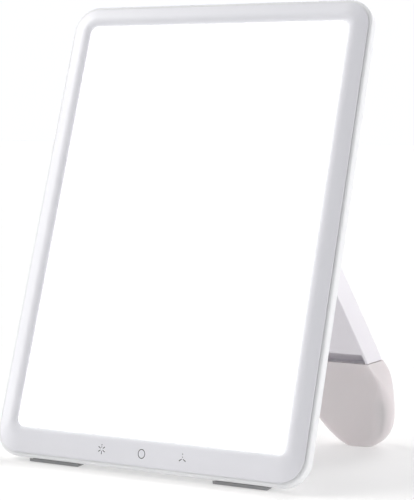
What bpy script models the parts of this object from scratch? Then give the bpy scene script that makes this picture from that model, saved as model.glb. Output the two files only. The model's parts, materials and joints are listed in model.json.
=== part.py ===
"""Tabletop light therapy lamp: a flat panel lamp that leans back on a wide folding stand.

The head is a shallow tray closed by a front frame. Behind the frame lie the diffuser, an optical film,
an edge-lit light guide, a reflector and a metal backing plate, then the electronics. The stand is a
flared hollow flap with a soft boot over its foot, and it turns on two pins at the back of the head.

Metres, +Z up, the lit face looks along -Y. Inside the head, x runs across, y is the depth behind the
front crest and z runs up the panel. Inside the stand, the origin is on the hinge axis, y runs out of
the stand's back and z runs up the stand.
"""
import math

import bmesh
import bpy
from mathutils import Vector

# Head: outline and section
HEAD_WIDTH = 0.1800
HEAD_HEIGHT = 0.2556
HEAD_THICKNESS = 0.0148
OUTER_CORNER_RADIUS = 0.0145
WINDOW_CORNER_RADIUS = 0.0038
CREASE_INSET = 0.0020
CREASE_DEPTH = 0.0019
BEZEL_FLAT = 0.0050
SIDE_BEZEL = 0.0130
BOTTOM_BEZEL = 0.0160
WINDOW_BEVEL = 0.0020
WINDOW_STEP = 0.0011
BEVEL_KNEE_SHARES = (0.6, 0.35)
WINDOW_EDGE = 0.0008
FLANGE = 0.0006
TONGUE_SETBACK = 0.0019
TONGUE_WALL = 0.0015
HOUSING_FLOOR = 0.0021
RIM_WALL = 0.0016
BACK_EDGE_RADIUS = 0.0082
BULGE_LENGTH = 0.0031
INNER_FILLET = 0.0024
SEAT_GAP = 0.0003
OVERRUN = 0.0010

# Sheets behind the frame, front to back
DIFFUSER_THICKNESS = 0.0017
FILM_THICKNESS = 0.0003
GUIDE_THICKNESS = 0.0020
REFLECTOR_THICKNESS = 0.0003
PLATE_THICKNESS = 0.0008
SHEET_OVERLAP = 0.0020
PLATE_LAP = 0.0012

# Light bars at both long edges of the light guide
BAR_BOARD = 0.0008
BAR_END_MARGIN = 0.0200
LED_COUNT = 18
LED_LENGTH = 0.0050
LED_HEIGHT = 0.0016
LED_REACH = 0.0013
LED_END_MARGIN = 0.0080

# Screws: shank, head, and the holes that take them
SHANK_RADIUS = 0.0010
HEAD_RADIUS = 0.0021
HEAD_LENGTH = 0.0009
HOLE_CLEARANCE = 0.00025
BOSS_WALL = 0.0012
BOSS_ROW_INSET = 0.0083
BOSS_JOINT_DEPTH = 0.0106
BOSS_SIDE_INSET = 0.0280
SCREW_END_MARGIN = 0.0010
THREAD_LENGTH = 0.0050
SCREW_TIP_SHARE = 0.6
HEAD_WAIST_SHARE = 0.5
HEAD_TOP_SHARE = 0.7

# Electronics
BOARD_WIDTH = 0.0640
BOARD_HEIGHT = 0.0340
BOARD_THICKNESS = 0.0008
BOARD_LOW = 0.0240
BOARD_DEPTH = 0.0102
BOARD_SCREW_MARGIN = 0.0045
INDUCTOR_RADIUS = 0.0032
INDUCTOR_LENGTH = 0.0011
CAPACITOR_RADIUS = 0.0026
CAPACITOR_LENGTH = 0.0011
CHIP_SIDE = 0.0070
CHIP_THICKNESS = 0.0009
JACK_SETBACK = 0.0016
JACK_LENGTH = 0.0110
JACK_WIDTH = 0.0060
JACK_DEPTH = 0.0036
JACK_BORE_RADIUS = 0.00125
JACK_PIN_RADIUS = 0.00045
JACK_BORE_DEPTH = 0.0080
JACK_HOLE_RADIUS = 0.0018
LEAD_RADIUS = 0.00045
RIBBON_WIDTH = 0.0080
RIBBON_THICKNESS = 0.0003
RIBBON_END_MARGIN = 0.0020
LEAD_BEND = 0.0010
RIBBON_BEND = 0.0010

# Places along the control board, as shares of its width
INDUCTOR_SHARE = 0.30
CAPACITOR_SHARE = 0.47
CHIP_SHARE = 0.66
LEFT_LEAD_SHARE = 0.12
RIGHT_LEAD_SHARE = 0.92

# Touch keys under the bottom bezel
KEY_HEIGHT = 0.0082
KEY_SPACING = 0.0234
TOUCH_BOARD_HEIGHT = 0.0060
TOUCH_BOARD_THICKNESS = 0.0010
CONTACT_RADIUS = 0.0023
CONTACT_LENGTH = 0.0013
TOUCH_REST_RADIUS = 0.0013
TOUCH_REST_REACH = 0.0056
TOUCH_REST_INSET = 0.0030

# Support posts between the housing's floor and the backing plate
POST_RADIUS = 0.0022
POST_X_SHARE = 0.31
POST_LOW_SHARE = 0.30
POST_HIGH_SHARE = 0.84

# Base pads on the lower back edge
PAD_STANDOFF = 0.0012
PAD_HALF_DEPTH = 0.0036
PAD_LENGTH = 0.0300
PAD_SIDE_INSET = 0.0360

# Hinge
HINGE_HEIGHT = 0.1611
HINGE_CLEARANCE = 0.0005
OPEN_ANGLE = math.radians(38.1)
PIN_RADIUS = 0.0020
PIN_CLEARANCE = 0.0001
EAR_SIDE_INSET = 0.0210
EAR_WIDTH = 0.0116
EAR_CLEARANCE = 0.0003
NECK_HALF = 0.0060
WASHER_THICKNESS = 0.0008
WASHER_RADIUS = 0.0062
BRACKET_SIDE_MARGIN = 0.0060
BRACKET_HALF_HEIGHT = 0.0180
BRACKET_THICKNESS = 0.0015
BRACKET_SCREW_RISE = 0.0128
PIN_INNER_GRIP = 0.0070
CAP_RADIUS = 0.0040
CAP_THICKNESS = 0.0020
CAP_SINK = 0.0019
HEEL_LENGTH = 0.0034
HEEL_START = 0.0012
HEEL_EASE_SHARE = 1.5
NOTCH_RELIEF = 0.0012

# Stand
STAND_THICKNESS = 0.0170
STAND_LENGTH = 0.1535
FLARE = math.radians(18.6)
SEAM_DISTANCE = 0.1021
FOOT_OVERHANG = 0.0034
FOOT_SWELL = 0.0078
SHELL_WALL = 0.0020
GROOVE_HEIGHT = 0.0050
GROOVE_DEPTH = 0.0090
GROOVE_END_WALL = 0.0015
BARREL_DEPTH = 0.0130
COVER_THICKNESS = 0.0026
COVER_RECESS = 0.0016
COVER_BOSS_RADIUS = 0.0026
STIFFENER_THICKNESS = 0.0015
STIFFENER_MARGIN = 0.0040
BOOT_SIDE_WALL = 0.0040
BOOT_FACE_WALL = 0.0028
BOOT_RIM_FILLET = 0.0006
BOOT_FOOT_FILLET = 0.0075
FOOT_FLAT = 0.0005
SOLE_OVERHANG = 0.0150

# Outline of the boot below its rim: share of the foot's half width, share of the boot's length
BOOT_OUTLINE_SHARES = (
    (0.976, 0.20), (1.000, 0.44), (0.990, 0.68), (0.945, 0.87), (0.860, 0.98), (0.790, 1.00),
    (0.700, 0.965), (0.600, 0.80), (0.510, 0.58), (0.400, 0.42), (0.200, 0.33), (0.000, 0.31),
)
# Screws of the stand's cover: share of the half width there, share of the distance to the seam
COVER_SCREW_SHARES = ((0.50, 0.27), (0.55, 0.78))

CORNER_STEPS = 6
ROUND_STEPS = 16
SECTION_STEPS = 5
CURVE_STEPS = 3

# Derived places in the head
WINDOW_CREST = SIDE_BEZEL - WINDOW_BEVEL
LIP_BACK = WINDOW_STEP + WINDOW_EDGE
DIFFUSER_FRONT = LIP_BACK + SEAT_GAP
FILM_FRONT = DIFFUSER_FRONT + DIFFUSER_THICKNESS + SEAT_GAP
GUIDE_FRONT = FILM_FRONT + FILM_THICKNESS + SEAT_GAP
REFLECTOR_FRONT = GUIDE_FRONT + GUIDE_THICKNESS + SEAT_GAP
PLATE_FRONT = REFLECTOR_FRONT + REFLECTOR_THICKNESS + SEAT_GAP
PLATE_BACK = PLATE_FRONT + PLATE_THICKNESS
TONGUE_END = PLATE_FRONT - SEAT_GAP
TONGUE_OUTER = CREASE_INSET + TONGUE_SETBACK
TONGUE_INNER = TONGUE_OUTER + TONGUE_WALL
SHEET_SIDE = TONGUE_INNER + SEAT_GAP
SHEET_TOP = SIDE_BEZEL - SHEET_OVERLAP
SHEET_BOTTOM = BOTTOM_BEZEL - SHEET_OVERLAP
RIM_DEPTH = CREASE_DEPTH + FLANGE + SEAT_GAP
RIM_INNER = CREASE_INSET + RIM_WALL
FLOOR_DEPTH = HEAD_THICKNESS - HOUSING_FLOOR
BAR_SIDE = SHEET_SIDE
LED_SIDE = BAR_SIDE + BAR_BOARD
GUIDE_SIDE = LED_SIDE + LED_REACH + SEAT_GAP
HALF_WIDTH = HEAD_WIDTH / 2
BOSS_SPREAD = HALF_WIDTH - BOSS_SIDE_INSET
PAD_CENTRE = HALF_WIDTH - PAD_SIDE_INSET
HOLE_RADIUS = SHANK_RADIUS + HOLE_CLEARANCE
RECESS_RADIUS = HEAD_RADIUS + SEAT_GAP
BOSS_RADIUS = HOLE_RADIUS + BOSS_WALL
HEAD_FRONT = HEAD_THICKNESS - SEAT_GAP - HEAD_LENGTH
RECESS_DEPTH = HEAD_FRONT - SEAT_GAP
TOUCH_BOARD_LENGTH = 2 * (KEY_SPACING + TOUCH_REST_REACH + TOUCH_REST_INSET)
TOUCH_BOARD_FRONT = DIFFUSER_FRONT + CONTACT_LENGTH + SEAT_GAP
RIBBON_CENTRE = RIBBON_END_MARGIN + RIBBON_WIDTH / 2 - TOUCH_BOARD_LENGTH / 2
JACK_OUTER = RIM_INNER + JACK_SETBACK - HALF_WIDTH
JACK_BOARD_EDGE = JACK_OUTER + JACK_LENGTH + SEAT_GAP
JACK_HEIGHT = BOARD_LOW + BOARD_HEIGHT / 2
JACK_CENTRE_DEPTH = PLATE_BACK + SEAT_GAP + JACK_DEPTH / 2
# The bezel falls back in a straight slope from the crease and eases into the crest on a parabola
BEZEL_RUN = WINDOW_CREST - CREASE_INSET
BEZEL_FALL = 2 * CREASE_DEPTH / (BEZEL_RUN + BEZEL_FLAT)

# Derived widths of the stand: its foot reaches just past the head's sides
FOOT_HALF_WIDTH = HALF_WIDTH + FOOT_OVERHANG
AXIS_HALF_WIDTH = FOOT_HALF_WIDTH - FOOT_SWELL - SEAM_DISTANCE * math.tan(FLARE)

# Derived places at the hinge, in the head and then in the stand
AXIS_DEPTH = HEAD_THICKNESS + STAND_THICKNESS / 2 + HINGE_CLEARANCE
HALF_STAND = STAND_THICKNESS / 2
EAR_CENTRE = AXIS_HALF_WIDTH - EAR_SIDE_INSET
COVER_FRONT = HALF_STAND - COVER_THICKNESS
COVER_SEAT = HALF_STAND - COVER_RECESS
EAR_RADIUS = HALF_STAND - SEAT_GAP
EAR_INNER = EAR_CENTRE - EAR_WIDTH / 2
EAR_OUTER = EAR_CENTRE + EAR_WIDTH / 2
BRACKET_HALF_WIDTH = EAR_OUTER + BRACKET_SIDE_MARGIN
NOTCH_INNER = EAR_INNER - WASHER_THICKNESS - 2 * EAR_CLEARANCE
NOTCH_OUTER = EAR_OUTER + EAR_CLEARANCE
PIN_INNER_END = NOTCH_INNER - PIN_INNER_GRIP
BORE_RADIUS = (PIN_RADIUS + PIN_CLEARANCE) / math.cos(math.pi / ROUND_STEPS)
BRACKET_BACK = FLOOR_DEPTH - SEAT_GAP
BRACKET_FRONT = BRACKET_BACK - BRACKET_THICKNESS

# The lean that sets the base pads and the foot on one floor. Both rounded edges are circles seen
# from the side, and the floor is the line that passes both at their own distances.
EDGE_CENTRE = (BACK_EDGE_RADIUS, HEAD_THICKNESS - BACK_EDGE_RADIUS)
EDGE_REACH = BACK_EDGE_RADIUS + PAD_STANDOFF
FOOT_RADIUS = BOOT_FOOT_FILLET
FOOT_DISTANCE = STAND_LENGTH - FOOT_RADIUS
FOOT_FRONT = FOOT_RADIUS - HALF_STAND
FOOT_CENTRE = (
    HINGE_HEIGHT - FOOT_DISTANCE * math.cos(OPEN_ANGLE) + FOOT_FRONT * math.sin(OPEN_ANGLE),
    AXIS_DEPTH + FOOT_DISTANCE * math.sin(OPEN_ANGLE) + FOOT_FRONT * math.cos(OPEN_ANGLE),
)
SPAN = (FOOT_CENTRE[0] - EDGE_CENTRE[0], FOOT_CENTRE[1] - EDGE_CENTRE[1])
LEAN = math.acos((FOOT_RADIUS - FOOT_FLAT - EDGE_REACH) / math.hypot(*SPAN)) - math.atan2(SPAN[1], SPAN[0])
TILT = OPEN_ANGLE - LEAN
HEAD_LIFT = EDGE_REACH - EDGE_CENTRE[0] * math.cos(LEAN) + EDGE_CENTRE[1] * math.sin(LEAN)
AXIS_LIFT = HEAD_LIFT + HINGE_HEIGHT * math.cos(LEAN) - AXIS_DEPTH * math.sin(LEAN)
ROOF = (GROOVE_HEIGHT + SHELL_WALL) / math.cos(TILT)


def material(name, colour, roughness, metallic=0.0, glow=0.0):
    made = bpy.data.materials.new(name)
    made.use_nodes = True
    made.diffuse_color = (*colour, 1.0)
    shader = made.node_tree.nodes["Principled BSDF"]
    shader.inputs["Base Color"].default_value = (*colour, 1.0)
    shader.inputs["Roughness"].default_value = roughness
    shader.inputs["Metallic"].default_value = metallic
    if glow:
        shader.inputs["Emission Color"].default_value = (*colour, 1.0)
        shader.inputs["Emission Strength"].default_value = glow
    return made


def empty(name, parent=None, location=(0, 0, 0), turn_x=0.0):
    made = bpy.data.objects.new(name, None)
    bpy.context.scene.collection.objects.link(made)
    made.parent = parent
    made.location = location
    made.rotation_euler = (turn_x, 0, 0)
    return made


def finish(name, mesh_data, parent, look, location=(0, 0, 0)):
    """Turn a bmesh into a named object with outward faces and smooth rounds."""
    bmesh.ops.remove_doubles(mesh_data, verts=mesh_data.verts, dist=SEAT_GAP / 100)
    bmesh.ops.recalc_face_normals(mesh_data, faces=mesh_data.faces)
    mesh = bpy.data.meshes.new(name)
    mesh_data.to_mesh(mesh)
    mesh_data.free()
    mesh.shade_smooth()
    mesh.set_sharp_from_angle(angle=math.radians(35))
    made = bpy.data.objects.new(name, mesh)
    bpy.context.scene.collection.objects.link(made)
    made.parent = parent
    made.location = location
    if look:
        mesh.materials.append(look)
    return made


def combine(target, tool, operation):
    """Join a helper solid to the target, or cut it out."""
    tool.hide_render = True
    tool.display_type = "WIRE"
    modifier = target.modifiers.new(tool.name, "BOOLEAN")
    modifier.operation = operation
    modifier.solver = "EXACT"
    modifier.object = tool


def rounded_loop(half_width, low, high, radius, depth):
    """A rounded rectangle across x and z at one depth."""
    corners = (
        (half_width - radius, high - radius, 0),
        (radius - half_width, high - radius, 90),
        (radius - half_width, low + radius, 180),
        (half_width - radius, low + radius, 270),
    )
    points = []
    for x, z, start in corners:
        for step in range(CORNER_STEPS + 1):
            angle = math.radians(start + 90 * step / CORNER_STEPS)
            points.append(Vector((x + radius * math.cos(angle), depth, z + radius * math.sin(angle))))
    return points


def head_loop(inset, depth, top_extra=0.0, bottom_extra=0.0):
    """The head's outline drawn in by an inset; corners tighten towards the window."""
    tighten = (OUTER_CORNER_RADIUS - WINDOW_CORNER_RADIUS) / SIDE_BEZEL
    radius = OUTER_CORNER_RADIUS - tighten * inset
    low = inset + bottom_extra
    high = HEAD_HEIGHT - inset - top_extra
    return rounded_loop(HALF_WIDTH - inset, low, high, radius, depth)


def loft(mesh_data, loops, ring=False):
    """Skin a run of loops with equal point counts; a ring closes on itself, a solid gets end caps."""
    rows = [[mesh_data.verts.new(point) for point in loop] for loop in loops]
    pairs = list(zip(rows, rows[1:]))
    if ring:
        pairs.append((rows[-1], rows[0]))
    for first, second in pairs:
        for index in range(len(first)):
            after = (index + 1) % len(first)
            mesh_data.faces.new((first[index], first[after], second[after], second[index]))
    if not ring:
        mesh_data.faces.new(rows[0])
        mesh_data.faces.new(rows[-1])


def add_box(mesh_data, low, high):
    """A box between two corners."""
    levels = []
    for z in (low[2], high[2]):
        levels.append([Vector((low[0], low[1], z)), Vector((high[0], low[1], z)),
                       Vector((high[0], high[1], z)), Vector((low[0], high[1], z))])
    loft(mesh_data, levels)


def add_round(mesh_data, start, end, radius, end_radius=None):
    """A cylinder or cone along x or y between two points."""
    start = Vector(start)
    end = Vector(end)
    across = Vector((0, 0, 1))
    side = (end - start).normalized().cross(across)
    loops = []
    for centre, size in ((start, radius), (end, radius if end_radius is None else end_radius)):
        loop = []
        for step in range(ROUND_STEPS):
            angle = 2 * math.pi * step / ROUND_STEPS
            loop.append(centre + size * (across * math.cos(angle) + side * math.sin(angle)))
        loops.append(loop)
    loft(mesh_data, loops)


def add_prism(mesh_data, outline, x_low, x_high):
    """A side profile of (y, z) points carried along x."""
    loft(mesh_data, [[Vector((x, y, z)) for y, z in outline] for x in (x_low, x_high)])


def box_object(name, parent, look, low, high):
    made = bmesh.new()
    add_box(made, low, high)
    return finish(name, made, parent, look)


def slab_object(name, parent, look, front, thickness, side, top=SHEET_TOP, bottom=SHEET_BOTTOM):
    """A sheet with its own insets from the head's sides, top and bottom."""
    made = bmesh.new()
    loft(made, [head_loop(side, depth, top - side, bottom - side) for depth in (front, front + thickness)])
    return finish(name, made, parent, look)


def screw_object(name, parent, look, location, shank_length, back):
    """A pan-head screw with its origin under the head. Its shank runs to -Y, or +Y if back is False."""
    away = 1 if back else -1
    made = bmesh.new()
    profile = (
        (0, -away * shank_length), (SHANK_RADIUS * SCREW_TIP_SHARE, -away * shank_length),
        (SHANK_RADIUS, -away * (shank_length - SHANK_RADIUS)), (SHANK_RADIUS, 0), (HEAD_RADIUS, 0),
        (HEAD_RADIUS, away * HEAD_LENGTH * HEAD_WAIST_SHARE),
        (HEAD_RADIUS * HEAD_TOP_SHARE, away * HEAD_LENGTH), (0, away * HEAD_LENGTH),
    )
    points = [made.verts.new((radius, y, 0)) for radius, y in profile]
    edges = [made.edges.new(pair) for pair in zip(points, points[1:])]
    bmesh.ops.spin(made, geom=points + edges, cent=(0, 0, 0), axis=(0, 1, 0), angle=2 * math.pi,
                   steps=ROUND_STEPS // 2 + 4, use_merge=True)
    return finish(name, made, parent, look, location)


def front_frame(parent, look):
    loops = []
    loops.append((CREASE_INSET, CREASE_DEPTH))
    for step in range(SECTION_STEPS):
        share = 1 - step / (SECTION_STEPS - 1)
        shoulder = share * (BEZEL_RUN - BEZEL_FLAT)
        loops.append((WINDOW_CREST - shoulder, BEZEL_FALL * shoulder * share / 2))
    across, down = BEVEL_KNEE_SHARES
    loops.append((WINDOW_CREST + WINDOW_BEVEL * across, WINDOW_STEP * down))
    loops.append((SIDE_BEZEL, WINDOW_STEP))
    extra = (BOTTOM_BEZEL - SIDE_BEZEL) / BEZEL_RUN
    skins = []
    for inset, depth in loops:
        lower = extra * min(inset - CREASE_INSET, BEZEL_RUN)
        skins.append(head_loop(inset, depth, 0, lower))
    skins.append(head_loop(SIDE_BEZEL, LIP_BACK, 0, BOTTOM_BEZEL - SIDE_BEZEL))
    skins.append(head_loop(TONGUE_INNER, LIP_BACK))
    skins.append(head_loop(TONGUE_INNER, TONGUE_END))
    skins.append(head_loop(TONGUE_OUTER, TONGUE_END))
    skins.append(head_loop(TONGUE_OUTER, CREASE_DEPTH + FLANGE))
    skins.append(head_loop(CREASE_INSET, CREASE_DEPTH + FLANGE))
    made = bmesh.new()
    loft(made, skins, ring=True)
    frame = finish("front_frame", made, parent, look)
    # Screw bosses and the two rests of the touch board stand on the frame's back
    bosses = bmesh.new()
    holes = bmesh.new()
    for x, z in boss_places():
        add_round(bosses, (x, LIP_BACK - SEAT_GAP, z), (x, BOSS_JOINT_DEPTH, z), BOSS_RADIUS)
        add_round(holes, (x, BOSS_JOINT_DEPTH - THREAD_LENGTH - SCREW_END_MARGIN, z),
                  (x, BOSS_JOINT_DEPTH + OVERRUN, z), HOLE_RADIUS)
    for side in (-1, 1):
        x = side * (KEY_SPACING + TOUCH_REST_REACH)
        rest_start = LIP_BACK - SEAT_GAP
        rest_end = TOUCH_BOARD_FRONT - SEAT_GAP
        add_round(bosses, (x, rest_start, KEY_HEIGHT), (x, rest_end, KEY_HEIGHT), TOUCH_REST_RADIUS)
    combine(frame, finish("frame_bosses", bosses, parent, None), "UNION")
    combine(frame, finish("frame_holes", holes, parent, None), "DIFFERENCE")
    return frame


def boss_places():
    top = HEAD_HEIGHT - BOSS_ROW_INSET
    return ((-BOSS_SPREAD, top), (0, top), (BOSS_SPREAD, top), (-BOSS_SPREAD, BOSS_ROW_INSET),
            (BOSS_SPREAD, BOSS_ROW_INSET))


def bracket_screw_places():
    return [(x, HINGE_HEIGHT + rise) for rise in (BRACKET_SCREW_RISE, -BRACKET_SCREW_RISE)
            for x in (-EAR_CENTRE, EAR_CENTRE)]


def board_screw_places():
    left = JACK_BOARD_EDGE + BOARD_SCREW_MARGIN
    right = JACK_BOARD_EDGE + BOARD_WIDTH - BOARD_SCREW_MARGIN
    high = BOARD_LOW + BOARD_HEIGHT - BOARD_SCREW_MARGIN
    return ((left, high), (right, high))


def back_housing(parent, look):
    skins = []
    for step in range(SECTION_STEPS + 1):
        angle = math.pi / 2 * step / SECTION_STEPS
        skins.append(head_loop(BACK_EDGE_RADIUS * (1 - math.sin(angle)),
                               HEAD_THICKNESS - BACK_EDGE_RADIUS * (1 - math.cos(angle))))
    for step in range(SECTION_STEPS + 1):
        angle = math.pi / 2 * step / SECTION_STEPS
        skins.append(head_loop(CREASE_INSET * (1 - math.cos(angle)),
                               RIM_DEPTH + BULGE_LENGTH * (1 - math.sin(angle))))
    skins.append(head_loop(RIM_INNER, RIM_DEPTH))
    for step in range(SECTION_STEPS - 1):
        angle = math.pi / 2 * step / (SECTION_STEPS - 2)
        skins.append(head_loop(RIM_INNER + INNER_FILLET * (1 - math.cos(angle)),
                               FLOOR_DEPTH - INNER_FILLET * (1 - math.sin(angle))))
    made = bmesh.new()
    loft(made, skins)
    housing = finish("back_housing", made, parent, look)
    # Bosses for the frame's screws, standoffs of the control board and posts behind the plate
    inner = bmesh.new()
    for x, z in boss_places():
        add_round(inner, (x, BOSS_JOINT_DEPTH + SEAT_GAP, z), (x, FLOOR_DEPTH + SEAT_GAP, z), BOSS_RADIUS)
    for x, z in board_screw_places():
        add_round(inner, (x, BOARD_DEPTH + BOARD_THICKNESS + SEAT_GAP, z), (x, FLOOR_DEPTH + SEAT_GAP, z),
                  BOSS_RADIUS)
    for side in (-1, 1):
        for share in (POST_LOW_SHARE, POST_HIGH_SHARE):
            x = side * POST_X_SHARE * HEAD_WIDTH
            z = share * HEAD_HEIGHT
            add_round(inner, (x, PLATE_BACK + SEAT_GAP, z), (x, FLOOR_DEPTH + SEAT_GAP, z), POST_RADIUS)
    combine(housing, finish("housing_bosses", inner, parent, None), "UNION")
    # Screw holes with recessed seats, the slots for the hinge ears and the hole of the power socket
    holes = bmesh.new()
    for x, z in boss_places():
        add_round(holes, (x, BOSS_JOINT_DEPTH - OVERRUN, z), (x, RECESS_DEPTH + SEAT_GAP, z), HOLE_RADIUS)
    for x, z in bracket_screw_places():
        add_round(holes, (x, FLOOR_DEPTH - OVERRUN, z), (x, RECESS_DEPTH + SEAT_GAP, z), HOLE_RADIUS)
    for x, z in board_screw_places():
        add_round(holes, (x, BOARD_DEPTH, z), (x, FLOOR_DEPTH, z), HOLE_RADIUS)
    neck = NECK_HALF + EAR_CLEARANCE
    for side in (-1, 1):
        near, far = sorted((side * (EAR_INNER - EAR_CLEARANCE), side * (EAR_OUTER + EAR_CLEARANCE)))
        add_box(holes, (near, FLOOR_DEPTH - OVERRUN, HINGE_HEIGHT - neck),
                (far, HEAD_THICKNESS + OVERRUN, HINGE_HEIGHT + neck))
    add_round(holes, (-HALF_WIDTH - OVERRUN, JACK_CENTRE_DEPTH, JACK_HEIGHT),
              (JACK_OUTER + OVERRUN, JACK_CENTRE_DEPTH, JACK_HEIGHT), JACK_HOLE_RADIUS)
    combine(housing, finish("housing_holes", holes, parent, None), "DIFFERENCE")
    recesses = bmesh.new()
    for x, z in list(boss_places()) + bracket_screw_places():
        add_round(recesses, (x, RECESS_DEPTH, z), (x, HEAD_THICKNESS + OVERRUN, z), RECESS_RADIUS)
    combine(housing, finish("housing_recesses", recesses, parent, None), "DIFFERENCE")
    return housing


def light_bar(name, parent, look, side):
    """A slim board with a row of LEDs that face the edge of the light guide."""
    low = BAR_END_MARGIN
    high = HEAD_HEIGHT - BAR_END_MARGIN
    outer = HALF_WIDTH - BAR_SIDE
    face = HALF_WIDTH - LED_SIDE
    tip = face - LED_REACH
    board_back = GUIDE_FRONT + GUIDE_THICKNESS + SEAT_GAP
    middle = GUIDE_FRONT + GUIDE_THICKNESS / 2
    pitch = (high - low - 2 * LED_END_MARGIN) / (LED_COUNT - 1)
    made = bmesh.new()
    near, far = sorted((side * face, side * outer))
    add_box(made, (near, GUIDE_FRONT, low), (far, board_back, high))
    bar = finish(name, made, parent, look)
    leds = bmesh.new()
    for index in range(LED_COUNT):
        z = low + LED_END_MARGIN + pitch * index
        near, far = sorted((side * tip, side * (face + BAR_BOARD / 2)))
        add_box(leds, (near, middle - LED_HEIGHT / 2, z - LED_LENGTH / 2),
                (far, middle + LED_HEIGHT / 2, z + LED_LENGTH / 2))
    combine(bar, finish(name + "_leds", leds, parent, None), "UNION")
    return bar


def tube_object(name, parent, look, points, radius):
    """A thin lead along a run of points."""
    curve = bpy.data.curves.new(name, "CURVE")
    curve.dimensions = "3D"
    curve.bevel_depth = radius
    curve.bevel_resolution = 1
    curve.use_fill_caps = True
    spline = curve.splines.new("POLY")
    spline.points.add(len(points) - 1)
    for index, point in enumerate(points):
        spline.points[index].co = (*point, 1)
    made = bpy.data.objects.new(name, curve)
    bpy.context.scene.collection.objects.link(made)
    made.parent = parent
    curve.materials.append(look)
    return made


def smooth_run(knots, steps):
    """Points along a smooth curve through the knots."""
    knots = [Vector(knot) for knot in knots]
    padded = [2 * knots[0] - knots[1]] + knots + [2 * knots[-1] - knots[-2]]
    points = []
    for index in range(1, len(padded) - 2):
        before, start, end, after = padded[index - 1:index + 3]
        for step in range(steps):
            t = step / steps
            bend = 2 * before - 5 * start + 4 * end - after
            twist = 3 * start - before - 3 * end + after
            points.append(start + ((end - before) * t + bend * t ** 2 + twist * t ** 3) / 2)
    points.append(knots[-1])
    return points


def touch_ribbon(parent, look):
    """A flat ribbon from the back of the touch board to the front of the control board."""
    start_depth = TOUCH_BOARD_FRONT + TOUCH_BOARD_THICKNESS + SEAT_GAP
    end_depth = BOARD_DEPTH - SEAT_GAP - RIBBON_THICKNESS
    turn = SHEET_BOTTOM - RIBBON_BEND
    knots = (
        (0, start_depth, KEY_HEIGHT), (0, start_depth, turn - 3 * RIBBON_BEND),
        (0, start_depth + 3 * RIBBON_BEND, turn - RIBBON_BEND),
        (0, end_depth - 2 * RIBBON_BEND, turn - RIBBON_BEND),
        (0, end_depth, turn + 2 * RIBBON_BEND), (0, end_depth, BOARD_LOW + 2 * BOARD_SCREW_MARGIN),
    )
    line = smooth_run(knots, CURVE_STEPS)
    offset_line = []
    for index, point in enumerate(line):
        ahead = line[min(index + 1, len(line) - 1)] - line[max(index - 1, 0)]
        normal = Vector((0, ahead.z, -ahead.y)).normalized()
        offset_line.append(point + normal * RIBBON_THICKNESS)
    outline = [(point.y, point.z) for point in line + offset_line[::-1]]
    made = bmesh.new()
    add_prism(made, outline, RIBBON_CENTRE - RIBBON_WIDTH / 2, RIBBON_CENTRE + RIBBON_WIDTH / 2)
    return finish("touch_ribbon", made, parent, look)


def power_socket(parent, look):
    made = bmesh.new()
    half = JACK_WIDTH / 2
    add_box(made, (JACK_OUTER, JACK_CENTRE_DEPTH - JACK_DEPTH / 2, JACK_HEIGHT - half),
            (JACK_OUTER + JACK_LENGTH, JACK_CENTRE_DEPTH + JACK_DEPTH / 2, JACK_HEIGHT + half))
    socket = finish("power_socket", made, parent, look)
    bore = bmesh.new()
    add_round(bore, (JACK_OUTER - OVERRUN, JACK_CENTRE_DEPTH, JACK_HEIGHT),
              (JACK_OUTER + JACK_BORE_DEPTH, JACK_CENTRE_DEPTH, JACK_HEIGHT), JACK_BORE_RADIUS)
    combine(socket, finish("socket_bore", bore, parent, None), "DIFFERENCE")
    pin = bmesh.new()
    add_round(pin, (JACK_OUTER + JACK_PIN_RADIUS, JACK_CENTRE_DEPTH, JACK_HEIGHT),
              (JACK_OUTER + JACK_BORE_DEPTH + OVERRUN, JACK_CENTRE_DEPTH, JACK_HEIGHT), JACK_PIN_RADIUS)
    combine(socket, finish("socket_pin", pin, parent, None), "UNION")
    return socket


def base_pad(name, parent, look, centre_x):
    """A pad that hugs the rounded lower back edge and is cut flat on the floor."""
    centre = Vector((0, EDGE_CENTRE[1], EDGE_CENTRE[0]))
    along = Vector((0, math.cos(LEAN), math.sin(LEAN)))
    down = Vector((0, math.sin(LEAN), -math.cos(LEAN)))
    hug = BACK_EDGE_RADIUS + SEAT_GAP
    swing = math.asin(PAD_HALF_DEPTH / hug)
    outline = []
    for step in range(ROUND_STEPS // 2 + 1):
        angle = swing * (4 * step / ROUND_STEPS - 1)
        point = centre + hug * (down * math.cos(angle) + along * math.sin(angle))
        outline.append((point.y, point.z))
    for side in (1, -1):
        point = centre + down * EDGE_REACH + along * side * (PAD_HALF_DEPTH - SEAT_GAP)
        outline.append((point.y, point.z))
    made = bmesh.new()
    add_prism(made, outline, centre_x - PAD_LENGTH / 2, centre_x + PAD_LENGTH / 2)
    return finish(name, made, parent, look)


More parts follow.
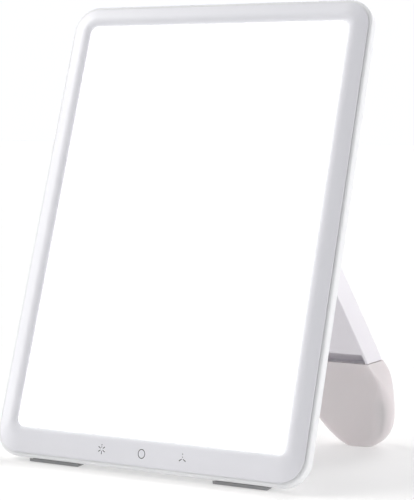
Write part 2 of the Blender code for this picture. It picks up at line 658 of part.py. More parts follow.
def hinge_bracket(parent, look):
    """A plate inside the housing with two ears that reach out through its floor."""
    made = bmesh.new()
    add_box(made, (-BRACKET_HALF_WIDTH, BRACKET_FRONT, HINGE_HEIGHT - BRACKET_HALF_HEIGHT),
            (BRACKET_HALF_WIDTH, BRACKET_BACK, HINGE_HEIGHT + BRACKET_HALF_HEIGHT))
    bracket = finish("hinge_bracket", made, parent, look)
    meet = math.asin(NECK_HALF / EAR_RADIUS)
    outline = [(BRACKET_FRONT + BRACKET_THICKNESS / 2, HINGE_HEIGHT - NECK_HALF)]
    for step in range(ROUND_STEPS + 1):
        angle = -math.pi + meet + (2 * math.pi - 2 * meet) * step / ROUND_STEPS
        outline.append((AXIS_DEPTH + EAR_RADIUS * math.cos(angle),
                        HINGE_HEIGHT + EAR_RADIUS * math.sin(angle)))
    outline.append((BRACKET_FRONT + BRACKET_THICKNESS / 2, HINGE_HEIGHT + NECK_HALF))
    ears = bmesh.new()
    bores = bmesh.new()
    for side in (-1, 1):
        low, high = sorted((side * EAR_INNER, side * EAR_OUTER))
        add_prism(ears, outline, low, high)
        add_round(bores, (low - OVERRUN, AXIS_DEPTH, HINGE_HEIGHT),
                  (high + OVERRUN, AXIS_DEPTH, HINGE_HEIGHT), BORE_RADIUS)
    for x, z in bracket_screw_places():
        add_round(bores, (x, BRACKET_FRONT - OVERRUN, z), (x, BRACKET_BACK + OVERRUN, z), HOLE_RADIUS)
    combine(bracket, finish("bracket_ears", ears, parent, None), "UNION")
    combine(bracket, finish("bracket_bores", bores, parent, None), "DIFFERENCE")
    return bracket


def half_at(z):
    """Half the stand's width at a height along it."""
    return AXIS_HALF_WIDTH - z * math.tan(FLARE)


def seam_at(y):
    """The stand's height at which a level plane through the seam meets a depth."""
    return -SEAM_DISTANCE - y * math.tan(TILT)


def add_flared(mesh_data, profile, side_inset=0.0):
    """A side profile of (y, z) points whose ends follow the stand's flare."""
    loops = []
    for side in (-1, 1):
        loops.append([Vector((side * (half_at(z) - side_inset), y, z)) for y, z in profile])
    loft(mesh_data, loops)


def boot_line():
    """Right half of the boot's outline, from above the seam round the foot to the middle of the arch."""
    length = STAND_LENGTH - SEAM_DISTANCE
    top = -SEAM_DISTANCE + STAND_THICKNESS / 2
    knots = [Vector((half_at(top), 0, top)), Vector((half_at(-SEAM_DISTANCE), 0, -SEAM_DISTANCE))]
    for across, down in BOOT_OUTLINE_SHARES:
        knots.append(Vector((across * FOOT_HALF_WIDTH, 0, -SEAM_DISTANCE - down * length)))
    return smooth_run(knots, CURVE_STEPS)


def inward(line, index):
    """Direction into the boot, square to its outline."""
    if index == len(line) - 1:
        return Vector((0, 0, 1))
    ahead = line[index + 1] - line[max(index - 1, 0)]
    return Vector((ahead.z, 0, -ahead.x)).normalized()


def boot_loop(y, inset_of, top):
    """A closed outline at one depth, drawn in by inset_of(index) and cut level at the top."""
    line = boot_line()
    points = [line[index] + inward(line, index) * inset_of(index) for index in range(len(line))]
    right = []
    for index, point in enumerate(points):
        if point.z <= top:
            if not right and index:
                before = points[index - 1]
                share = (top - point.z) / (before.z - point.z)
                right.append(point.lerp(before, share))
            right.append(point)
    left = [Vector((-point.x, 0, point.z)) for point in reversed(right[:-1])]
    return [Vector((point.x, y, point.z)) for point in right + left]


def boot_fillet(index):
    """Edge radius along the boot: crisp at the rim, full at the foot."""
    line = boot_line()
    share = min(max((-SEAM_DISTANCE - line[index].z) / (STAND_LENGTH - SEAM_DISTANCE) * 2, 0), 1)
    eased = share * share * (3 - 2 * share)
    return BOOT_RIM_FILLET + (BOOT_FOOT_FILLET - BOOT_RIM_FILLET) * eased


def stand_boot(parent, look):
    top = boot_line()[0].z
    skins = []
    for side in (-1, 1):
        rows = []
        for step in range(SECTION_STEPS + 1):
            angle = math.pi / 2 * step / SECTION_STEPS
            rows.append(angle)
        if side < 0:
            rows.reverse()
        for angle in rows:
            points = boot_loop(0, lambda index: boot_fillet(index) * (1 - math.cos(angle)), top)
            radii = [boot_fillet(index) for index in range(len(boot_line()))]
            radii = radii + radii[-2::-1]
            skins.append([Vector((point.x, side * (HALF_STAND - radius * (1 - math.sin(angle))), point.z))
                          for point, radius in zip(points, radii)])
    made = bmesh.new()
    loft(made, skins)
    boot = finish("stand_boot", made, parent, look)
    # The pocket that the shell's tongue fills, then the level rim and the flats on the floor
    pocket = bmesh.new()
    face = HALF_STAND - BOOT_FACE_WALL + SEAT_GAP
    loft(pocket, [boot_loop(y, lambda index: BOOT_SIDE_WALL - SEAT_GAP, top) for y in (-face, face)])
    combine(boot, finish("boot_pocket", pocket, parent, None), "DIFFERENCE")
    rim = bmesh.new()
    wide = HALF_STAND + OVERRUN
    above = STAND_THICKNESS - SEAM_DISTANCE
    reach = FOOT_HALF_WIDTH + OVERRUN
    add_prism(rim, ((-wide, seam_at(-wide) - SEAT_GAP), (wide, seam_at(wide) - SEAT_GAP), (wide, above),
                    (-wide, above)), -reach, reach)
    combine(boot, finish("boot_rim_cut", rim, parent, None), "DIFFERENCE")
    sole = bmesh.new()
    ends = (-SOLE_OVERHANG, SOLE_OVERHANG)
    front, back = [-(AXIS_LIFT + y * math.sin(TILT)) / math.cos(TILT) for y in ends]
    add_prism(sole, ((-SOLE_OVERHANG, front), (SOLE_OVERHANG, back), (SOLE_OVERHANG, back - SOLE_OVERHANG),
                     (-SOLE_OVERHANG, front - SOLE_OVERHANG)), -reach, reach)
    combine(boot, finish("boot_sole_cut", sole, parent, None), "DIFFERENCE")
    return boot


def barrel_profile():
    """Side view of the stand's body: a full-round top with a flat heel that stops it when open."""
    heel_normal = Vector((-math.cos(OPEN_ANGLE), math.sin(OPEN_ANGLE)))
    heel_along = Vector((math.sin(OPEN_ANGLE), math.cos(OPEN_ANGLE)))
    heel = heel_normal * (HALF_STAND + HINGE_CLEARANCE - SEAT_GAP)
    points = [(-HALF_STAND, seam_at(-HALF_STAND))]
    for step in range(SECTION_STEPS + 1):
        angle = OPEN_ANGLE * step / SECTION_STEPS
        points.append((-HALF_STAND * math.cos(angle), HALF_STAND * math.sin(angle)))
    for reach in (HEEL_START, HEEL_LENGTH):
        corner = heel + heel_along * reach
        points.append((corner.x, corner.y))
    first = OPEN_ANGLE + math.atan(HEEL_LENGTH / HALF_STAND) * HEEL_EASE_SHARE
    for step in range(ROUND_STEPS // 2 + 1):
        angle = first + (math.pi - first) * step / (ROUND_STEPS // 2)
        points.append((-HALF_STAND * math.cos(angle), HALF_STAND * math.sin(angle)))
    points.append((HALF_STAND, seam_at(HALF_STAND)))
    return points


def cover_screw_places():
    places = []
    for across, down in COVER_SCREW_SHARES:
        z = -down * SEAM_DISTANCE
        places += [(-across * half_at(z), z), (across * half_at(z), z)]
    return places


def stand_shell(parent, look):
    made = bmesh.new()
    add_flared(made, barrel_profile())
    shell = finish("stand_shell", made, parent, look)
    # The tongue that fills the boot
    tongue = bmesh.new()
    face = HALF_STAND - BOOT_FACE_WALL
    top = -SEAM_DISTANCE + HALF_STAND / 2
    loft(tongue, [boot_loop(y, lambda index: BOOT_SIDE_WALL, top) for y in (-face, face)])
    combine(shell, finish("shell_tongue", tongue, parent, None), "UNION")
    # The hollow behind the front wall, open at the back; above the seam it passes behind the groove
    back = HALF_STAND + OVERRUN
    front = SHELL_WALL - HALF_STAND
    hollow = bmesh.new()
    add_flared(hollow, ((front, -BARREL_DEPTH), (front, seam_at(front) + ROOF),
                        (back, seam_at(back) + ROOF), (back, -BARREL_DEPTH)), SHELL_WALL)
    combine(shell, finish("shell_hollow", hollow, parent, None), "DIFFERENCE")
    low_front = GROOVE_DEPTH - HALF_STAND + SHELL_WALL
    low = bmesh.new()
    ceiling = ROOF + OVERRUN
    add_flared(low, ((low_front, seam_at(low_front) + ceiling), (low_front, seam_at(low_front) + SHELL_WALL),
                     (back, seam_at(back) + SHELL_WALL), (back, seam_at(back) + ceiling)), SHELL_WALL)
    combine(shell, finish("shell_low_hollow", low, parent, None), "DIFFERENCE")
    # The shadow groove across the front, right above the boot
    groove = bmesh.new()
    mouth = -HALF_STAND - OVERRUN
    deep = GROOVE_DEPTH - HALF_STAND
    rise = GROOVE_HEIGHT / math.cos(TILT)
    add_flared(groove, ((mouth, seam_at(mouth) - SEAT_GAP), (mouth, seam_at(mouth) + rise),
                        (deep, seam_at(deep) + rise), (deep, seam_at(deep) - SEAT_GAP)), GROOVE_END_WALL)
    combine(shell, finish("shell_groove", groove, parent, None), "DIFFERENCE")
    # Bosses for the cover's screws
    bosses = bmesh.new()
    holes = bmesh.new()
    hole_end = COVER_SEAT - THREAD_LENGTH - SCREW_END_MARGIN
    for x, z in cover_screw_places():
        add_round(bosses, (x, front - SEAT_GAP, z), (x, COVER_FRONT - SEAT_GAP, z), COVER_BOSS_RADIUS)
        add_round(holes, (x, hole_end, z), (x, COVER_FRONT + OVERRUN, z), HOLE_RADIUS)
    combine(shell, finish("shell_bosses", bosses, parent, None), "UNION")
    # Notches for the hinge ears, the pins' bores and the seats of the end caps
    low_notch = -(EAR_RADIUS + NOTCH_RELIEF)
    for side in (-1, 1):
        near, far = sorted((side * NOTCH_INNER, side * NOTCH_OUTER))
        add_box(holes, (near, -STAND_THICKNESS, low_notch), (far, STAND_THICKNESS, STAND_THICKNESS))
    combine(shell, finish("shell_holes", holes, parent, None), "DIFFERENCE")
    bores = bmesh.new()
    seats = bmesh.new()
    seat = AXIS_HALF_WIDTH - CAP_SINK - CAP_THICKNESS - SEAT_GAP
    for side in (-1, 1):
        add_round(bores, (side * PIN_INNER_END, 0, 0), (side * (seat + SEAT_GAP), 0, 0), BORE_RADIUS)
        add_round(seats, (side * seat, 0, 0), (side * (AXIS_HALF_WIDTH + CAP_RADIUS), 0, 0),
                  CAP_RADIUS + SEAT_GAP)
    combine(shell, finish("shell_bores", bores, parent, None), "DIFFERENCE")
    combine(shell, finish("shell_cap_seats", seats, parent, None), "DIFFERENCE")
    return shell


def stand_cover(parent, look):
    made = bmesh.new()
    inset = SHELL_WALL + SEAT_GAP
    top = -BARREL_DEPTH - SEAT_GAP
    add_flared(made, ((COVER_FRONT, top), (COVER_FRONT, seam_at(COVER_FRONT) + inset),
                      (HALF_STAND, seam_at(HALF_STAND) + inset), (HALF_STAND, top)), inset)
    cover = finish("stand_cover", made, parent, look)
    holes = bmesh.new()
    recesses = bmesh.new()
    for x, z in cover_screw_places():
        add_round(holes, (x, COVER_FRONT - OVERRUN, z), (x, COVER_SEAT + SEAT_GAP, z), HOLE_RADIUS)
        add_round(recesses, (x, COVER_SEAT, z), (x, HALF_STAND + OVERRUN, z), RECESS_RADIUS)
    combine(cover, finish("cover_holes", holes, parent, None), "DIFFERENCE")
    combine(cover, finish("cover_recesses", recesses, parent, None), "DIFFERENCE")
    return cover


def stand_stiffener(parent, look):
    """A steel plate against the inside of the front wall."""
    made = bmesh.new()
    front = SHELL_WALL - HALF_STAND + SEAT_GAP
    back = front + STIFFENER_THICKNESS
    top = -BARREL_DEPTH - SEAT_GAP
    low = seam_at(back) + ROOF + SHELL_WALL
    add_flared(made, ((front, top), (front, low), (back, low), (back, top)), STIFFENER_MARGIN)
    plate = finish("stand_stiffener", made, parent, look)
    holes = bmesh.new()
    for x, z in cover_screw_places():
        add_round(holes, (x, front - OVERRUN, z), (x, back + OVERRUN, z), COVER_BOSS_RADIUS + SEAT_GAP)
    combine(plate, finish("stiffener_holes", holes, parent, None), "DIFFERENCE")
    return plate


def hinge_hardware(parent, steel, washer_look, cap_look):
    for name, side in (("left", -1), ("right", 1)):
        pin = bmesh.new()
        end = AXIS_HALF_WIDTH - CAP_SINK - CAP_THICKNESS - 2 * SEAT_GAP
        add_round(pin, (side * (PIN_INNER_END + SEAT_GAP), 0, 0), (side * end, 0, 0), PIN_RADIUS)
        finish("hinge_pin_" + name, pin, parent, steel)
        washer = bmesh.new()
        near = side * (NOTCH_INNER + EAR_CLEARANCE)
        far = side * (EAR_INNER - EAR_CLEARANCE)
        add_round(washer, (near, 0, 0), (far, 0, 0), WASHER_RADIUS)
        ring = finish("friction_washer_" + name, washer, parent, washer_look)
        bore = bmesh.new()
        add_round(bore, (near - side * OVERRUN, 0, 0), (far + side * OVERRUN, 0, 0), BORE_RADIUS)
        combine(ring, finish("washer_bore_" + name, bore, parent, None), "DIFFERENCE")
        cap = bmesh.new()
        outer = AXIS_HALF_WIDTH - CAP_SINK
        add_round(cap, (side * (outer - CAP_THICKNESS), 0, 0), (side * outer, 0, 0), CAP_RADIUS)
        finish("hinge_cap_" + name, cap, parent, cap_look)


def build():
    for old in list(bpy.data.objects):
        bpy.data.objects.remove(old, do_unlink=True)

    white = material("white_plastic", (0.83, 0.83, 0.84), 0.35)
    white_back = material("white_back_plastic", (0.85, 0.85, 0.85), 0.42)
    stand_white = material("stand_white_plastic", (0.80, 0.79, 0.81), 0.40)
    boot_look = material("boot_silicone", (0.70, 0.67, 0.66), 0.60)
    pad_look = material("pad_rubber", (0.10, 0.10, 0.10), 0.75)
    opal = material("opal_acrylic", (1.0, 1.0, 1.0), 0.30, glow=1.5)
    film = material("optical_film", (0.92, 0.94, 0.96), 0.20)
    acrylic = material("clear_acrylic", (0.90, 0.94, 0.95), 0.08)
    mirror_sheet = material("reflector_film", (0.95, 0.95, 0.95), 0.30)
    aluminium = material("aluminium", (0.75, 0.76, 0.78), 0.40, 1.0)
    steel = material("steel", (0.62, 0.62, 0.64), 0.30, 1.0)
    board_green = material("circuit_board", (0.04, 0.24, 0.12), 0.45)
    board_white = material("white_circuit_board", (0.88, 0.88, 0.85), 0.40)
    black = material("black_plastic", (0.03, 0.03, 0.03), 0.45)
    foam = material("conductive_foam", (0.16, 0.16, 0.17), 0.85)
    ribbon = material("ribbon_cable", (0.88, 0.86, 0.80), 0.50)
    lead_red = material("lead_red", (0.60, 0.05, 0.04), 0.45)
    hinge_grey = material("hinge_plastic", (0.55, 0.55, 0.56), 0.45)
    washer_look = material("washer_plastic", (0.80, 0.78, 0.70), 0.40)

    root = empty("lamp_root")
    head = empty("head_frame", root, (0, 0, HEAD_LIFT), -LEAN)
    stand = empty("stand_axis", head, (0, AXIS_DEPTH, HINGE_HEIGHT), OPEN_ANGLE)

    front_frame(head, white)
    back_housing(head, white_back)
    slab_object("diffuser_panel", head, opal, DIFFUSER_FRONT, DIFFUSER_THICKNESS, SHEET_SIDE)
    slab_object("optical_film", head, film, FILM_FRONT, FILM_THICKNESS, SHEET_SIDE)
    slab_object("light_guide", head, acrylic, GUIDE_FRONT, GUIDE_THICKNESS, GUIDE_SIDE)
    slab_object("reflector_sheet", head, mirror_sheet, REFLECTOR_FRONT, REFLECTOR_THICKNESS, GUIDE_SIDE)
    slab_object("backing_plate", head, aluminium, PLATE_FRONT, PLATE_THICKNESS, TONGUE_INNER - PLATE_LAP)
    light_bar("led_bar_left", head, board_white, -1)
    light_bar("led_bar_right", head, board_white, 1)

    # Control board beside the power socket, with its larger components on the back
    board_back = BOARD_DEPTH + BOARD_THICKNESS
    board = box_object("control_board", head, board_green, (JACK_BOARD_EDGE, BOARD_DEPTH, BOARD_LOW),
                       (JACK_BOARD_EDGE + BOARD_WIDTH, board_back, BOARD_LOW + BOARD_HEIGHT))
    board_holes = bmesh.new()
    for x, z in board_screw_places():
        add_round(board_holes, (x, BOARD_DEPTH - OVERRUN, z), (x, board_back + OVERRUN, z), HOLE_RADIUS)
    combine(board, finish("board_holes", board_holes, head, None), "DIFFERENCE")
    seat = board_back + SEAT_GAP
    middle = BOARD_LOW + BOARD_HEIGHT / 2
    parts = (
        ("power_inductor", INDUCTOR_SHARE, INDUCTOR_RADIUS, INDUCTOR_LENGTH, black),
        ("supply_capacitor", CAPACITOR_SHARE, CAPACITOR_RADIUS, CAPACITOR_LENGTH, aluminium),
    )
    for name, share, radius, length, look in parts:
        body = bmesh.new()
        add_round(body, (0, 0, 0), (0, length, 0), radius)
        finish(name, body, head, look, (JACK_BOARD_EDGE + share * BOARD_WIDTH, seat, middle))
    chip_x = JACK_BOARD_EDGE + BOARD_WIDTH * CHIP_SHARE
    box_object("controller_chip", head, black, (chip_x, seat, middle - CHIP_SIDE / 2),
               (chip_x + CHIP_SIDE, seat + CHIP_THICKNESS, middle + CHIP_SIDE / 2))
    power_socket(head, black)

    # Touch keys: a sensing board behind the bottom bezel, one soft contact for each mark
    key_low = KEY_HEIGHT - TOUCH_BOARD_HEIGHT / 2 + SEAT_GAP
    key_high = KEY_HEIGHT + TOUCH_BOARD_HEIGHT / 2
    box_object("touch_board", head, board_green, (-TOUCH_BOARD_LENGTH / 2, TOUCH_BOARD_FRONT, key_low),
               (TOUCH_BOARD_LENGTH / 2, TOUCH_BOARD_FRONT + TOUCH_BOARD_THICKNESS, key_high))
    for index, name in enumerate(("brightness", "power", "timer")):
        contact = bmesh.new()
        add_round(contact, (0, 0, 0), (0, CONTACT_LENGTH, 0), CONTACT_RADIUS)
        place = ((index - 1) * KEY_SPACING, DIFFUSER_FRONT, KEY_HEIGHT)
        finish("touch_contact_" + name, contact, head, foam, place)
    touch_ribbon(head, ribbon)

    # Leads from the light bars to the control board run behind the backing plate
    lead_x = HALF_WIDTH - LED_SIDE - LEAD_RADIUS - SEAT_GAP
    bar_depth = GUIDE_FRONT + GUIDE_THICKNESS / 2
    lane = (PLATE_BACK + BOARD_DEPTH) / 2
    dip = SHEET_BOTTOM - 2 * LEAD_BEND
    for name, side, board_share in (("left", -1, LEFT_LEAD_SHARE), ("right", 1, RIGHT_LEAD_SHARE)):
        end_x = JACK_BOARD_EDGE + board_share * BOARD_WIDTH
        knots = (
            (side * lead_x, bar_depth, BAR_END_MARGIN + LEAD_BEND),
            (side * lead_x, bar_depth, dip + 2 * LEAD_BEND),
            (side * (lead_x - LEAD_BEND), bar_depth + 2 * LEAD_BEND, dip),
            (side * (lead_x - 3 * LEAD_BEND), lane, dip),
            (side * (lead_x - 5 * LEAD_BEND), lane, BAR_END_MARGIN),
            (end_x, lane, BOARD_LOW + BOARD_SCREW_MARGIN),
        )
        tube_object("led_lead_" + name, head, lead_red, smooth_run(knots, CURVE_STEPS), LEAD_RADIUS)

    hinge_bracket(head, hinge_grey)
    for index, (x, z) in enumerate(boss_places()):
        length = HEAD_FRONT - BOSS_JOINT_DEPTH + THREAD_LENGTH
        screw_object("back_screw_%d" % (index + 1), head, steel, (x, HEAD_FRONT, z), length, True)
    for index, (x, z) in enumerate(bracket_screw_places()):
        length = HEAD_FRONT - BRACKET_FRONT + SCREW_END_MARGIN
        screw_object("bracket_screw_%d" % (index + 1), head, steel, (x, HEAD_FRONT, z), length, True)
    for index, (x, z) in enumerate(board_screw_places()):
        length = FLOOR_DEPTH - BOARD_DEPTH
        place = (x, BOARD_DEPTH - SEAT_GAP, z)
        screw_object("board_screw_%d" % (index + 1), head, steel, place, length, False)
    base_pad("base_pad_left", head, pad_look, -PAD_CENTRE)
    base_pad("base_pad_right", head, pad_look, PAD_CENTRE)

    stand_shell(stand, stand_white)
    stand_cover(stand, stand_white)
    stand_stiffener(stand, steel)
    stand_boot(stand, boot_look)
    for index, (x, z) in enumerate(cover_screw_places()):
        screw_object("cover_screw_%d" % (index + 1), stand, steel, (x, COVER_SEAT + SEAT_GAP, z),
                     SEAT_GAP + THREAD_LENGTH, True)
    hinge_hardware(stand, steel, washer_look, stand_white)

    # The origin stands on the floor, in the middle of the depth that the lamp takes up
    bpy.context.view_layer.update()
    graph = bpy.context.evaluated_depsgraph_get()
    depths = []
    for piece in bpy.data.objects:
        if piece.type in {"MESH", "CURVE"} and not piece.hide_render:
            shape = piece.evaluated_get(graph)
            mesh = shape.to_mesh()
            depths += [(piece.matrix_world @ vertex.co).y for vertex in mesh.vertices]
            shape.to_mesh_clear()
    root.location = (0, -(min(depths) + max(depths)) / 2, 0)


build()
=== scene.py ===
"""Looks of the tabletop light therapy lamp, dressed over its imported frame.

The head's own axes have x across, y as the depth behind the bezel's crest and z up the panel. The
stand's own axes start on the hinge, with y out of its back and z up it. Metres throughout.
"""
import json
import math

import bmesh
import bpy
from mathutils import Matrix, Vector


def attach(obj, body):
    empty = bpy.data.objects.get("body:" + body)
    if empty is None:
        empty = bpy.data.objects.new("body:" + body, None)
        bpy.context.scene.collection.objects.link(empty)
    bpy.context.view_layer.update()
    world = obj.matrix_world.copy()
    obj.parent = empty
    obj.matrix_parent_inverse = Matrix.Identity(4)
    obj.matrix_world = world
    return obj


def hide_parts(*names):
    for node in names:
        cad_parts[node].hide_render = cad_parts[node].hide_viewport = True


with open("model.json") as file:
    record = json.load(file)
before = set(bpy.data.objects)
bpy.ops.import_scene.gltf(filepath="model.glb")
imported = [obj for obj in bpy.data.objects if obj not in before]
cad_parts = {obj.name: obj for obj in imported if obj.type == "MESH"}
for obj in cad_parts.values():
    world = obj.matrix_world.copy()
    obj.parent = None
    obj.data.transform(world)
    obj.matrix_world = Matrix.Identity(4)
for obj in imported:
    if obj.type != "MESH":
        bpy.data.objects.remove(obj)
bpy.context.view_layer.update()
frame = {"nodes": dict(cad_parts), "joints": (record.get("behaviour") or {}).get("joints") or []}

# Head: outline and section
CREASE_INSET = 0.0020
CREASE_DEPTH = 0.0019
CREASE_ROUND = 0.00025
BEZEL_FLAT = 0.0050
SIDE_BEZEL = 0.0130
BOTTOM_BEZEL = 0.0160
WINDOW_BEVEL = 0.0034
WINDOW_STEP = 0.0014
WINDOW_EDGE = 0.0005
OUTER_CORNER = 0.0145
WINDOW_CORNER = 0.0038
FLANGE = 0.0003
SEAT_GAP = 0.0003
TONGUE_SETBACK = 0.0019
TONGUE_WALL = 0.0015
BULGE_LENGTH = 0.0031
BULGE_POWER = 4.0
BACK_EDGE_RADIUS = 0.0082
HOUSING_FLOOR = 0.0021
RIM_WALL = 0.0016
INNER_FILLET = 0.0024
BOSS_RADIUS = 0.00245
BOSS_JOINT_DEPTH = 0.0106
POST_RADIUS = 0.0022
POST_SIDE = 0.0558
POST_LOW = 0.0767
POST_HIGH = 0.2147
BOARD_BACK = 0.0110
KEY_HEIGHT = 0.0082
KEY_SPACING = 0.0234
REST_SIDE = 0.0290
REST_RADIUS = 0.0013
REST_DEPTH = 0.0035
PAD_HALF_DEPTH = 0.0036
PAD_REACH = 0.0094
PAD_EDGE = 0.0004
SOCKET_EDGE = 0.0003
MOUTH_OPENING = 0.0018
MOUTH_RADIUS = 0.00125
MOUTH_DEPTH = 0.0080
MOUTH_PIN_RADIUS = 0.00045
PIN_TIP_SHARE = 0.7
PIN_START_SHARE = 1.3
PIN_SHOULDER_SHARE = 2.0

# Screws and the seats that take them
SHANK_RADIUS = 0.0010
SCREW_HEAD_RADIUS = 0.0021
SCREW_HEAD_LENGTH = 0.0009
HOLE_RADIUS = 0.00125
SEAT_CHAMFER = 0.00025
CROSS_LENGTH = 0.0023
CROSS_WIDTH = 0.00045
CROSS_DEPTH = 0.0006
CROSS_TAPER_SHARE = 0.8
SCREW_TIP_SHARE = 0.6
SCREW_RIM_SHARE = 0.35
SCREW_DOME_SHARE = 0.34

# Hinge
NECK_HALF = 0.0060
EAR_CLEARANCE = 0.0003
EAR_ROUND = 0.0004
EAR_RADIUS = 0.0082
BORE_RADIUS = 0.0021
CAP_RADIUS = 0.0040
HEEL_START = 0.0012
HEEL_LENGTH = 0.0034
HEEL_EASE_SHARE = 1.5
HEEL_GAP = 0.0002
NOTCH_RELIEF = 0.0012
WASHER_THICKNESS = 0.0008

# Stand
STAND_LENGTH = 0.1535
SEAM_DISTANCE = 0.1021
FOOT_SWELL = 0.0078
FLARE = math.radians(18.6)
SHELL_WALL = 0.0020
SHELL_EDGE = 0.0007
GROOVE_HEIGHT = 0.0050
GROOVE_DEPTH = 0.0090
GROOVE_END_WALL = 0.0015
BARREL_DEPTH = 0.0130
COVER_THICKNESS = 0.0026
COVER_RECESS = 0.0016
COVER_BOSS_RADIUS = 0.0026
COVER_EDGE = 0.0003
BOOT_SIDE_WALL = 0.0040
BOOT_FACE_WALL = 0.0028
BOOT_RIM_FILLET = 0.0006
BOOT_FOOT_FILLET = 0.0078
BOOT_SIDE_STRETCH = 0.5
BOOT_SOLE_SHARE = 0.45
BOOT_SWELL_SHARE = 0.5
BOOT_OUTER_SHARE = 2 / 3
SOLE_OVERHANG = 0.0150
BOOT_OUTLINE_SHARES = (
    (0.976, 0.20), (1.000, 0.44), (0.990, 0.68), (0.945, 0.87), (0.860, 0.98), (0.790, 1.00),
    (0.700, 0.965), (0.600, 0.80), (0.510, 0.58), (0.400, 0.42), (0.200, 0.33), (0.000, 0.31),
)
CAP_EDGE = 0.0004
WASHER_EDGE = 0.00015

# Printed touch marks
MARK_STROKE = 0.0004
RAY_STROKE = 0.0005
RAY_TAPER_SHARE = 0.65
SUN_HEART = 0.0008
SUN_RAYS = 6
CLOCK_HEART = 0.0005
CLOCK_RAYS = 3
MARK_RADIUS = 0.0025
RING_RADIUS = 0.0024
MARK_ACROSS_SHARE = 0.86
MARK_PROUD = 0.00002

# Lit panel, its glow dimmed beside the window's edge as painted shade of the bezel
PANEL_MIDDLE = 0.1293
PANEL_EDGE_SHADE_WIDTH = 0.0020
# Share of the glow left at the window's edge: painted shade of the bezel
PANEL_EDGE_SHADE_SHARE = 0.92
PANEL_GLOW = 3.6
PANEL_TINT = (1.0, 0.995, 0.985)

# Finishes: the slow drift of colour, the fine grain and the silicone's soft depth
DRIFT_SCALE = 18.0
DRIFT_DETAIL = 3.0
DRIFT_ROUGHNESS = 0.55
DRIFT_LOW_SHARE = 0.35
DRIFT_HIGH_SHARE = 0.65
GRAIN_DETAIL = 2.0
GRAIN_ROUGHNESS = 0.5
GRAIN_STRENGTH = 0.35
SILICONE_SCATTER = 0.5
SILICONE_DEPTH = 0.006
SILICONE_SPREAD = (1.0, 0.9, 0.9)

# Studio: each light by the direction it comes from, its strength, softness in degrees and colour
FLOOR_HALF = 6.0
AMBIENT = 0.20
HORIZON = 1.02
HORIZON_TOP = 0.12
HORIZON_FADE = 0.30
FLOOR_GLOW = 0.37
AMBIENT_COLOUR = (0.98, 0.99, 1.03)
LIGHTS = (
    ("left_key", (-0.93, -0.20, 0.30), 0.72, 40, (1.0, 0.995, 0.975)),
    ("left_box", (-0.70, -0.15, 0.70), 1.95, 40, (1.0, 0.995, 0.98)),
    ("back_box", (0.05, 0.80, 0.60), 1.50, 45, (1.0, 1.0, 1.0)),
    ("right_rim", (0.94, 0.20, 0.22), 1.25, 35, (1.0, 1.0, 1.0)),
)
CAMERA_SENSOR = 36
CAMERA_LENS = 110.43
CAMERA_PLACE = (0.37319, -0.73036, 0.18744)
CAMERA_TURN = (84.600, -0.0714, 26.760)

# Fineness of the curved surfaces, an overrun for every cut, the draft of faces square to the pull,
# the distance at which points weld and the angle from which an edge looks sharp
CORNER_STEPS = 20
EDGE_STEPS = 12
SHOULDER_STEPS = 10
ROUND_STEPS = 48
DOME_STEPS = 6
SOFT_STEPS = 4
SOCKET_SOFT_STEPS = 3
OUTLINE_STEPS = 6
OVERRUN = 0.0010
DRAFT = 0.00005
WELD = 0.000004
SHARP_ANGLE = math.radians(32)


def flat_side(node):
    """Direction of a CAD node's largest flat face, turned to the lamp's back."""
    largest = max(frame["nodes"][node].data.polygons, key=lambda face: face.area)
    return largest.normal if largest.normal.y > 0 else -largest.normal


def own_axes(back, origin):
    """Axes of a leaning body: x across, y out of its back, z up it."""
    across = Vector((1, 0, 0))
    turned = Matrix((across, back, across.cross(back))).transposed()
    return Matrix.Translation(origin) @ turned.to_4x4()


def span(node, axes):
    """Lowest and highest corner of a CAD node along a body's own axes."""
    flat = axes.inverted()
    points = [flat @ vertex.co for vertex in frame["nodes"][node].data.vertices]
    return tuple(Vector([pick(point[i] for point in points) for i in range(3)]) for pick in (min, max))


def middle(node, axes):
    """Middle of a CAD node's box in the given axes."""
    low, high = span(node, axes)
    return (low + high) / 2


# The two bodies' own axes, read from the frame
upright = own_axes(flat_side("diffuser_panel"), Vector())
crest = upright @ Vector((0, span("front_frame", upright)[0].y, span("back_housing", upright)[0].z))
HEAD = own_axes(flat_side("diffuser_panel"), crest)
STAND = own_axes(flat_side("stand_cover"), Vector(frame["joints"][0]["pos_m"]))
HEAD_TOP = span("back_housing", HEAD)[1]
HALF_WIDTH = HEAD_TOP.x
HEAD_THICKNESS = HEAD_TOP.y
HEAD_HEIGHT = HEAD_TOP.z
FLOOR_DEPTH = HEAD_THICKNESS - HOUSING_FLOOR
LIP_BACK = WINDOW_STEP + WINDOW_EDGE
WINDOW_CREST = SIDE_BEZEL - WINDOW_BEVEL
BEZEL_RUN = WINDOW_CREST - CREASE_INSET
BEZEL_FALL = 2 * CREASE_DEPTH / (BEZEL_RUN + BEZEL_FLAT)
TONGUE_OUTER = CREASE_INSET + TONGUE_SETBACK
TONGUE_INNER = TONGUE_OUTER + TONGUE_WALL
RIM_DEPTH = CREASE_DEPTH + FLANGE + SEAT_GAP
RIM_INNER = CREASE_INSET + RIM_WALL
TONGUE_END = span("backing_plate", HEAD)[0].y - SEAT_GAP
HALF_STAND = span("stand_cover", STAND)[1].y
TILT = math.atan2(STAND[2][1], STAND[1][1])
OPEN_ANGLE = TILT + math.atan2(-HEAD[2][1], HEAD[1][1])
HINGE_HEIGHT = (HEAD.inverted() @ STAND.translation).z
HINGE_DEPTH = (HEAD.inverted() @ STAND.translation).y
FOOT_HALF_WIDTH = span("stand_boot", STAND)[1].x
AXIS_HALF_WIDTH = FOOT_HALF_WIDTH - FOOT_SWELL - SEAM_DISTANCE * math.tan(FLARE)


